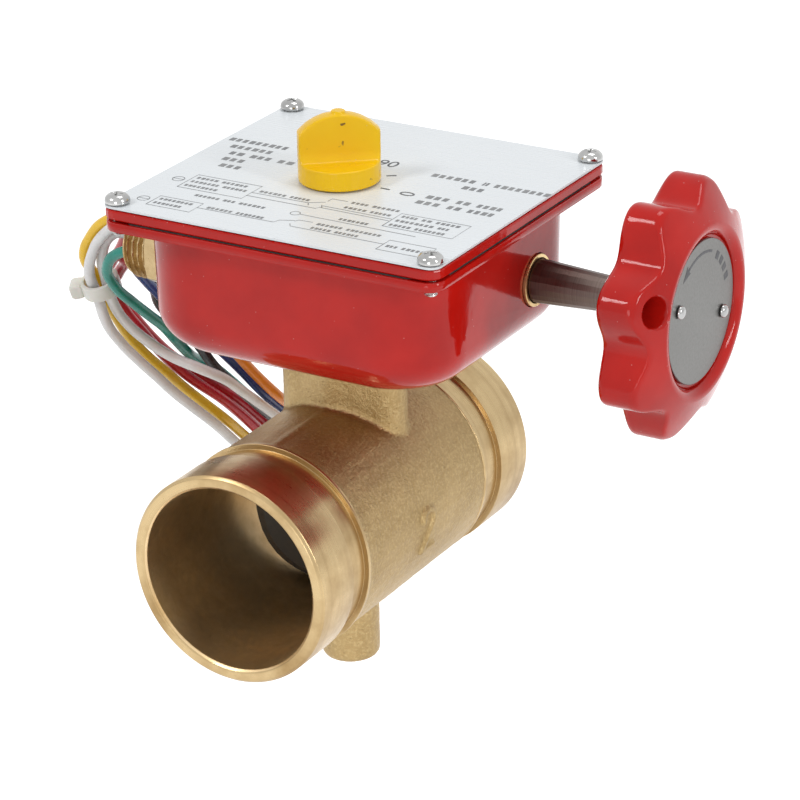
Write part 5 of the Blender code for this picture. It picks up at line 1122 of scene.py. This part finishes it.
NIPPLE_END = -0.0620
NIPPLE_HEX_START = -0.0540
NIPPLE_HEX_END = -0.0429
NIPPLE_INNER_END = -0.0340
NIPPLE_BORE = 0.0080
NIPPLE_SHANK = 0.0098
NIPPLE_THREAD = 0.0105
NIPPLE_PITCH = 0.00181
NIPPLE_THREAD_DEPTH = 0.00115
THREAD_STEEPNESS = 2.5
THREAD_LEAD_IN = 0.0012
THREAD_LEAD_IN_DROP = 0.0006
THREAD_LEAST_DEPTH = 0.4
THREAD_RUN_OUT = 0.0006
HEX_HALF_WIDTH = 0.0110
HEX_CHAMFER_RADIUS = 0.0114
HEX_CHAMFER_SLOPE = 1.7
HEX_RADIUS = 0.01262
NIPPLE_STEPS = 180


def nipple_radius(x, turn):
    """Outside radius of the nipple: a thread with a lead-in, then a chamfered hexagon."""
    if x >= NIPPLE_HEX_START:
        sector = math.pi / 3
        flat = HEX_HALF_WIDTH / math.cos((turn + sector / 2) % sector - sector / 2)
        chamfer = HEX_CHAMFER_RADIUS + HEX_CHAMFER_SLOPE * min(x - NIPPLE_HEX_START, NIPPLE_HEX_END - x)
        return min(flat, chamfer, HEX_RADIUS)
    along = (x - NIPPLE_END) / NIPPLE_PITCH + turn / (2 * math.pi)
    ridge = min(1.0, THREAD_STEEPNESS * abs((along % 1.0) - 0.5))
    lead_in = min(1.0, (x - NIPPLE_END) / THREAD_LEAD_IN)
    run_out = min(1.0, (NIPPLE_HEX_START - x) / THREAD_RUN_OUT)
    crest = NIPPLE_THREAD - THREAD_LEAD_IN_DROP * (1 - lead_in)
    return crest - NIPPLE_THREAD_DEPTH * ridge * min(1.0, THREAD_LEAST_DEPTH + lead_in) * run_out


def add_nipple():
    places = [NIPPLE_END + 0.0001 * index for index in range(81)]
    places += [NIPPLE_HEX_START + 0.00001] + [NIPPLE_HEX_START + 0.00015 * index for index in range(1, 8)]
    places += [NIPPLE_HEX_END - 0.00015 * index for index in range(7, -1, -1)]
    y, z = NIPPLE_AXIS
    rings = []
    for x in places:
        outline = [on_circle(nipple_radius(x, turn), turn) for turn in even_turns(NIPPLE_STEPS)]
        rings.append([(x, y + across, z + up) for across, up in outline])
    for x, radius in (
        (NIPPLE_HEX_END + 0.00002, NIPPLE_SHANK), (NIPPLE_INNER_END - 0.0004, NIPPLE_SHANK),
        (NIPPLE_INNER_END, NIPPLE_SHANK - 0.0004), (NIPPLE_INNER_END, NIPPLE_BORE + 0.0004),
        (NIPPLE_INNER_END - 0.0004, NIPPLE_BORE), (NIPPLE_END + 0.0005, NIPPLE_BORE),
        (NIPPLE_END, NIPPLE_BORE + 0.0005),
    ):
        rings.append([(x, y + across, z + up) for across, up, _ in circle(radius, 0.0, NIPPLE_STEPS)])
    data = lofted(rings, closed=True)
    add_piece("threaded_nipple", data, "valve", "nipple_brass", smooth=30.0, replaces="conduit_nipple")


# Cable tie

TIE_CENTRE = (-0.0816, 0.0001, 0.0486)
TIE_ALONG = Vector((0.08, 0.31, -0.95)).normalized()
TIE_HEAD_SIDE = Vector((-0.82, -0.40, 0.0))
TIE_HALF_WIDTH = 0.0023
TIE_INNER = 0.0045
TIE_OUTER = 0.0057
TIE_RIB_DEPTH = 0.00012
TIE_RIB_HALF_WIDTH = 0.0014
TIE_HEAD_HALF_WIDTH = 0.0026
# How much smaller the head is at each distance from the tie's middle
TIE_HEAD = (
    (0.0005, 0.00512), (0.0001, 0.0056), (0.0, 0.0066), (0.0, 0.0080), (0.0003, 0.0088), (0.0008, 0.0091),
)
# The slot in the head: its four sides and its corners' radius
TIE_SLOT = (-0.0006, 0.0007, -0.0015, 0.0015, 0.0002)


def tie_ring(x, corners):
    return [(x, side, along) for side, along, _ in corners]


def add_cable_tie():
    """Ribbed nylon band with its lock head."""
    corners = [
        (TIE_INNER, -TIE_HALF_WIDTH), (TIE_OUTER, -TIE_HALF_WIDTH), (TIE_OUTER, TIE_HALF_WIDTH),
        (TIE_INNER, TIE_HALF_WIDTH),
    ]
    rings = []
    for radius, height in rounded(corners, 0.0003, 2, closed=True):
        ribbed = radius > TIE_OUTER - 0.0002 and abs(height) < TIE_RIB_HALF_WIDTH
        ring = []
        for index, turn in enumerate(even_turns(120)):
            rib = TIE_RIB_DEPTH if ribbed and index % 4 < 2 else 0.0
            ring.append((*on_circle(radius - rib, turn), height))
        rings.append(ring)
    band = lofted(rings, closed=True)
    head = []
    for shrink, x in TIE_HEAD:
        side = TIE_HEAD_HALF_WIDTH - shrink
        edge = TIE_HALF_WIDTH - shrink
        head.append(tie_ring(x, rectangle(-side, side, -edge, edge, 0.0006, 0.0, 4)))
    slot = [tie_ring(x, rectangle(*TIE_SLOT, 0.0, 2)) for x in (0.0070, 0.0095)]
    whole = gathered([band, combined(lofted(head), [lofted(slot)])])
    outward = (TIE_HEAD_SIDE - TIE_ALONG * TIE_HEAD_SIDE.dot(TIE_ALONG)).normalized()
    axes = Matrix((outward, TIE_ALONG.cross(outward), TIE_ALONG)).transposed().to_4x4()
    placed(whole, Matrix.Translation(TIE_CENTRE) @ axes)
    return add_piece("ribbed_tie", whole, "valve", "nylon", replaces="cable_tie")


# Print on the label plate, in millimetres

PLATE_TOP = 0.0940
LINE_WIDTH = 0.28
BOX_WIDTH = 0.26
MARK_WIDTH = 0.75
NUMERAL_HEIGHT = 4.6
FONT_SCALE = 1.38
# The wiring diagram as lines of points, boxes, and rings with their radius
DIAGRAM = (
    ((-16.0, -19.5), (1.6, -19.4), (5.8, -16.9)),
    ((10.8, -13.7), (6.0, -13.8), (5.9, -16.0)),
    ((-16.0, -22.1), (5.9, -22.2), (6.3, -21.0), (28.0, -21.4)),
    ((2.0, -19.6), (2.8, -21.0)),
    ((6.0, -19.2), (7.0, -20.9)),
    ((6.6, -19.6), (28.0, -19.9)),
    ((4.6, -27.9), (40.0, -28.4)),
    ((-22.5, -36.3), (1.4, -36.2), (2.0, -34.2), (5.8, -32.6)),
    ((10.8, -31.6), (6.6, -31.8), (6.0, -33.0)),
    ((5.9, -35.2), (6.9, -36.7), (35.5, -36.9)),
)
DIAGRAM_BOXES = (
    (-36.5, -24.8, -15.9, -14.2), (28.2, -25.4, 49.2, -15.0), (-36.3, -40.2, -22.6, -33.0),
    (35.4, -40.9, 49.3, -33.6),
)
DIAGRAM_RINGS = ((3.0, -27.8, 1.35), (-39.6, -19.4, 1.7), (-39.4, -36.7, 1.7))
RING_DASHES = (((-41.3, -19.4), (-37.9, -19.4)), ((-41.1, -36.7), (-37.7, -36.7)))
DIAL_MARKS = (((9.6, 8.7), (11.9, 10.2)), ((13.1, -0.4), (16.0, -0.5)))
# Bars where the plate carries words: left end, middle height, bar height, then the words' lengths
TEXT_ROWS = (
    (-45.0, 15.3, 2.9, (19.5,)), (-41.5, 10.3, 2.9, (14.0,)), (-38.7, 5.3, 2.9, (5.0, 7.2, 5.6)),
    (-38.0, 0.5, 2.9, (7.6,)), (-35.8, -4.5, 2.9, (7.4,)),
    (20.4, 15.2, 2.9, (14.0, 1.8, 17.2)), (32.6, 10.2, 2.9, (7.0,)),
    (27.6, -0.6, 2.9, (7.5, 4.4, 8.0)), (27.0, -5.2, 2.9, (7.8, 4.4, 8.2)),
    (-35.4, -16.3, 1.7, (7.0, 8.4)), (-35.4, -19.4, 1.7, (9.2, 7.8)), (-35.4, -22.6, 1.7, (10.6,)),
    (29.4, -16.9, 1.8, (5.0, 3.2, 7.4)), (29.4, -20.2, 1.8, (11.6, 3.6)), (29.4, -23.6, 1.8, (6.6, 9.2)),
    (-14.4, -17.7, 1.7, (8.6, 6.2)), (12.2, -13.9, 1.7, (5.4, 8.6)), (12.2, -17.8, 1.7, (7.0, 6.4)),
    (15.6, -26.2, 1.7, (9.2,)), (-28.4, -28.2, 1.7, (8.0, 4.0, 8.4)),
    (-35.2, -34.9, 1.7, (10.6,)), (-35.2, -38.0, 1.7, (9.0,)), (-20.2, -34.9, 1.7, (8.2, 8.8)),
    (12.4, -32.1, 1.7, (8.0, 10.6)), (12.4, -35.2, 1.7, (6.2, 7.4)), (36.6, -37.6, 1.8, (3.6, 7.0)),
)


def on_plate(x, y, level):
    return (x * MILLIMETRE, y * MILLIMETRE, PLATE_TOP + PRINT_LIFT + PRINT_THICKNESS * level)


def greeked(left, middle, height, words):
    """A line of text as rows of small blocks, one block for each letter's width."""
    strips = []
    for word in words:
        count = max(2, round(word / (height * 0.78)))
        pitch = word / count
        for index in range(count):
            start = left + pitch * index
            wide = pitch * (0.62 if (index * 7 + count) % 3 else 0.74)
            strips.append(ribbon(((start, middle), (start + wide, middle)), height * 0.82, on_plate))
        left += word + height * 0.62
    return strips


def numeral(text, height, place, angle):
    """Plain numbers beside the dial's marks, as thin print."""
    font = bpy.data.curves.new("numeral", "FONT")
    with_settings(font, body=text, size=height * FONT_SCALE, align_x="CENTER", align_y="CENTER", extrude=0.5)
    data = evaluated(linked("numeral", font))
    bpy.data.curves.remove(font)
    turn = Matrix.Rotation(math.radians(angle), 2)
    for vert in data.verts:
        flat = turn @ Vector((vert.co.x, vert.co.y)) + Vector(place)
        vert.co = on_plate(flat.x, flat.y, 1.0 if vert.co.z > 0 else 0.0)
    return data


def add_plate_print():
    lines = [ribbon(points, LINE_WIDTH, on_plate) for points in DIAGRAM]
    for left, bottom, right, top in DIAGRAM_BOXES:
        corners = ((left, bottom), (right, bottom), (right, top), (left, top), (left, bottom))
        lines.append(ribbon(corners, BOX_WIDTH, on_plate))
    for x, y, radius in DIAGRAM_RINGS:
        ring = [(x + px, y + py) for px, py, _ in circle(radius, 0.0, 24)]
        lines.append(ribbon(ring + ring[:1], BOX_WIDTH, on_plate))
    lines += [ribbon(dash, BOX_WIDTH, on_plate) for dash in RING_DASHES]
    bars = [bar for row in TEXT_ROWS for bar in greeked(*row)]
    marks = [ribbon(mark, MARK_WIDTH, on_plate) for mark in DIAL_MARKS]
    marks.append(numeral("90", NUMERAL_HEIGHT, (5.0, 17.4), 0.0))
    marks.append(numeral("0", NUMERAL_HEIGHT, (21.6, -1.2), -90.0))
    # The diagram and text inks carry painted glare: black print drawn as lighter grey.
    for name, parts, ink in (
        ("diagram_print", lines, "ink_grey_painted_glare"), ("text_bars", bars, "ink_text_painted_glare"),
        ("dial_print", marks, "ink_black"),
    ):
        add_piece(name, gathered(parts), "valve", "label_white", ink, smooth=0.0)


# Light, floor and background

WORLD_COLOUR = (0.97, 0.98, 1.0, 1.0)
WORLD_STRENGTH = 0.42
WHITE = (1.0, 1.0, 1.0, 1.0)
FLOOR_COLOUR = (0.82, 0.82, 0.82, 1.0)
FLOOR_GLOW = 0.62
FLOOR_REACH = 4.0
FLOOR_GAP = 0.0006
# Each lamp's place, what it points at, its size and its power
LAMPS = {
    "key_lamp": ((-0.55, -0.75, 0.95), (0.0, 0.0, 0.05), (0.32, 0.32), 4.6),
    "right_lamp": ((0.95, -0.15, 0.45), (0.03, 0.0, 0.03), (0.16, 0.5), 3.0),
    "top_lamp": ((0.05, 0.25, 1.1), (0.0, 0.0, 0.05), (0.5, 0.4), 3.0),
    "front_lamp": ((0.35, -1.2, 0.15), (0.0, 0.0, 0.0), (0.4, 0.4), 1.8),
}


def pale_when_seen(tree, plain, seen):
    """Mix two shaders: the second for the camera, reflections and clear things, the first for the rest."""
    rays = tree.nodes.new("ShaderNodeLightPath")
    share = rays.outputs["Is Camera Ray"]
    for kind in ("Is Glossy Ray", "Is Transmission Ray"):
        either = with_settings(tree.nodes.new("ShaderNodeMath"), operation="MAXIMUM")
        tree.links.new(share, either.inputs[0])
        tree.links.new(rays.outputs[kind], either.inputs[1])
        share = either.outputs[0]
    mix = tree.nodes.new("ShaderNodeMixShader")
    for socket, source in zip(mix.inputs, (share, plain, seen)):
        tree.links.new(source, socket)
    return mix.outputs[0]


def add_world():
    world = bpy.data.worlds.new("studio_world")
    bpy.context.scene.world = world
    world.use_nodes = True
    tree = world.node_tree
    plain = tree.nodes["Background"]
    seen = tree.nodes.new("ShaderNodeBackground")
    for light, colour, strength in ((plain, WORLD_COLOUR, WORLD_STRENGTH), (seen, WHITE, 1.0)):
        light.inputs["Color"].default_value = colour
        light.inputs["Strength"].default_value = strength
    mixed = pale_when_seen(tree, plain.outputs[0], seen.outputs[0])
    tree.links.new(mixed, tree.nodes["World Output"].inputs["Surface"])


def add_floor():
    mesh = bpy.data.meshes.new("studio_floor")
    height = cad_box[0][2] - FLOOR_GAP
    corners = ((-1, -1), (1, -1), (1, 1), (-1, 1))
    mesh.from_pydata([(x * FLOOR_REACH, y * FLOOR_REACH, height) for x, y in corners], [], [(0, 1, 2, 3)])
    floor = linked("studio_floor", mesh)
    material = bpy.data.materials.new("studio_floor")
    material.use_nodes = True
    tree = material.node_tree
    shader = tree.nodes["Principled BSDF"]
    shader.inputs["Base Color"].default_value = FLOOR_COLOUR
    shader.inputs["Roughness"].default_value = 0.9
    glow = tree.nodes.new("ShaderNodeEmission")
    glow.inputs["Strength"].default_value = FLOOR_GLOW
    both = tree.nodes.new("ShaderNodeAddShader")
    tree.links.new(shader.outputs[0], both.inputs[0])
    tree.links.new(glow.outputs[0], both.inputs[1])
    mixed = pale_when_seen(tree, shader.outputs[0], both.outputs[0])
    tree.links.new(mixed, tree.nodes["Material Output"].inputs["Surface"])
    mesh.materials.append(material)


def add_lamps():
    for name, (place, target, (width, height), power) in LAMPS.items():
        data = bpy.data.lights.new(name, "AREA")
        lamp = linked(name, with_settings(data, shape="RECTANGLE", size=width, size_y=height, energy=power))
        lamp.location = place
        lamp.rotation_euler = (Vector(target) - Vector(place)).to_track_quat("-Z", "Y").to_euler()


# Assembly of the scene

bpy.context.scene.view_settings.view_transform = "Standard"
add_camera()
add_world()
add_floor()
add_lamps()
materials = make_materials()
add_wires(add_cable_tie())
add_machined_ends()
add_casting()
add_housing_paint()
add_flange_paint()
add_cover_screws()
add_handwheel()
add_wheel_disc()
add_wheel_print()
add_knob()
add_nipple()
add_plate_print()

# Nodes whose material isn't the one that is named after their slot
NODE_MATERIALS = {"valve_body": "cast_bronze", "worm_shaft": "shaft_steel"}
for row in frame["record"]["subparts"]:
    wanted = NODE_MATERIALS.get(row["node"], row["material_slot"])
    finish_with(nodes[row["node"]], materials[wanted])
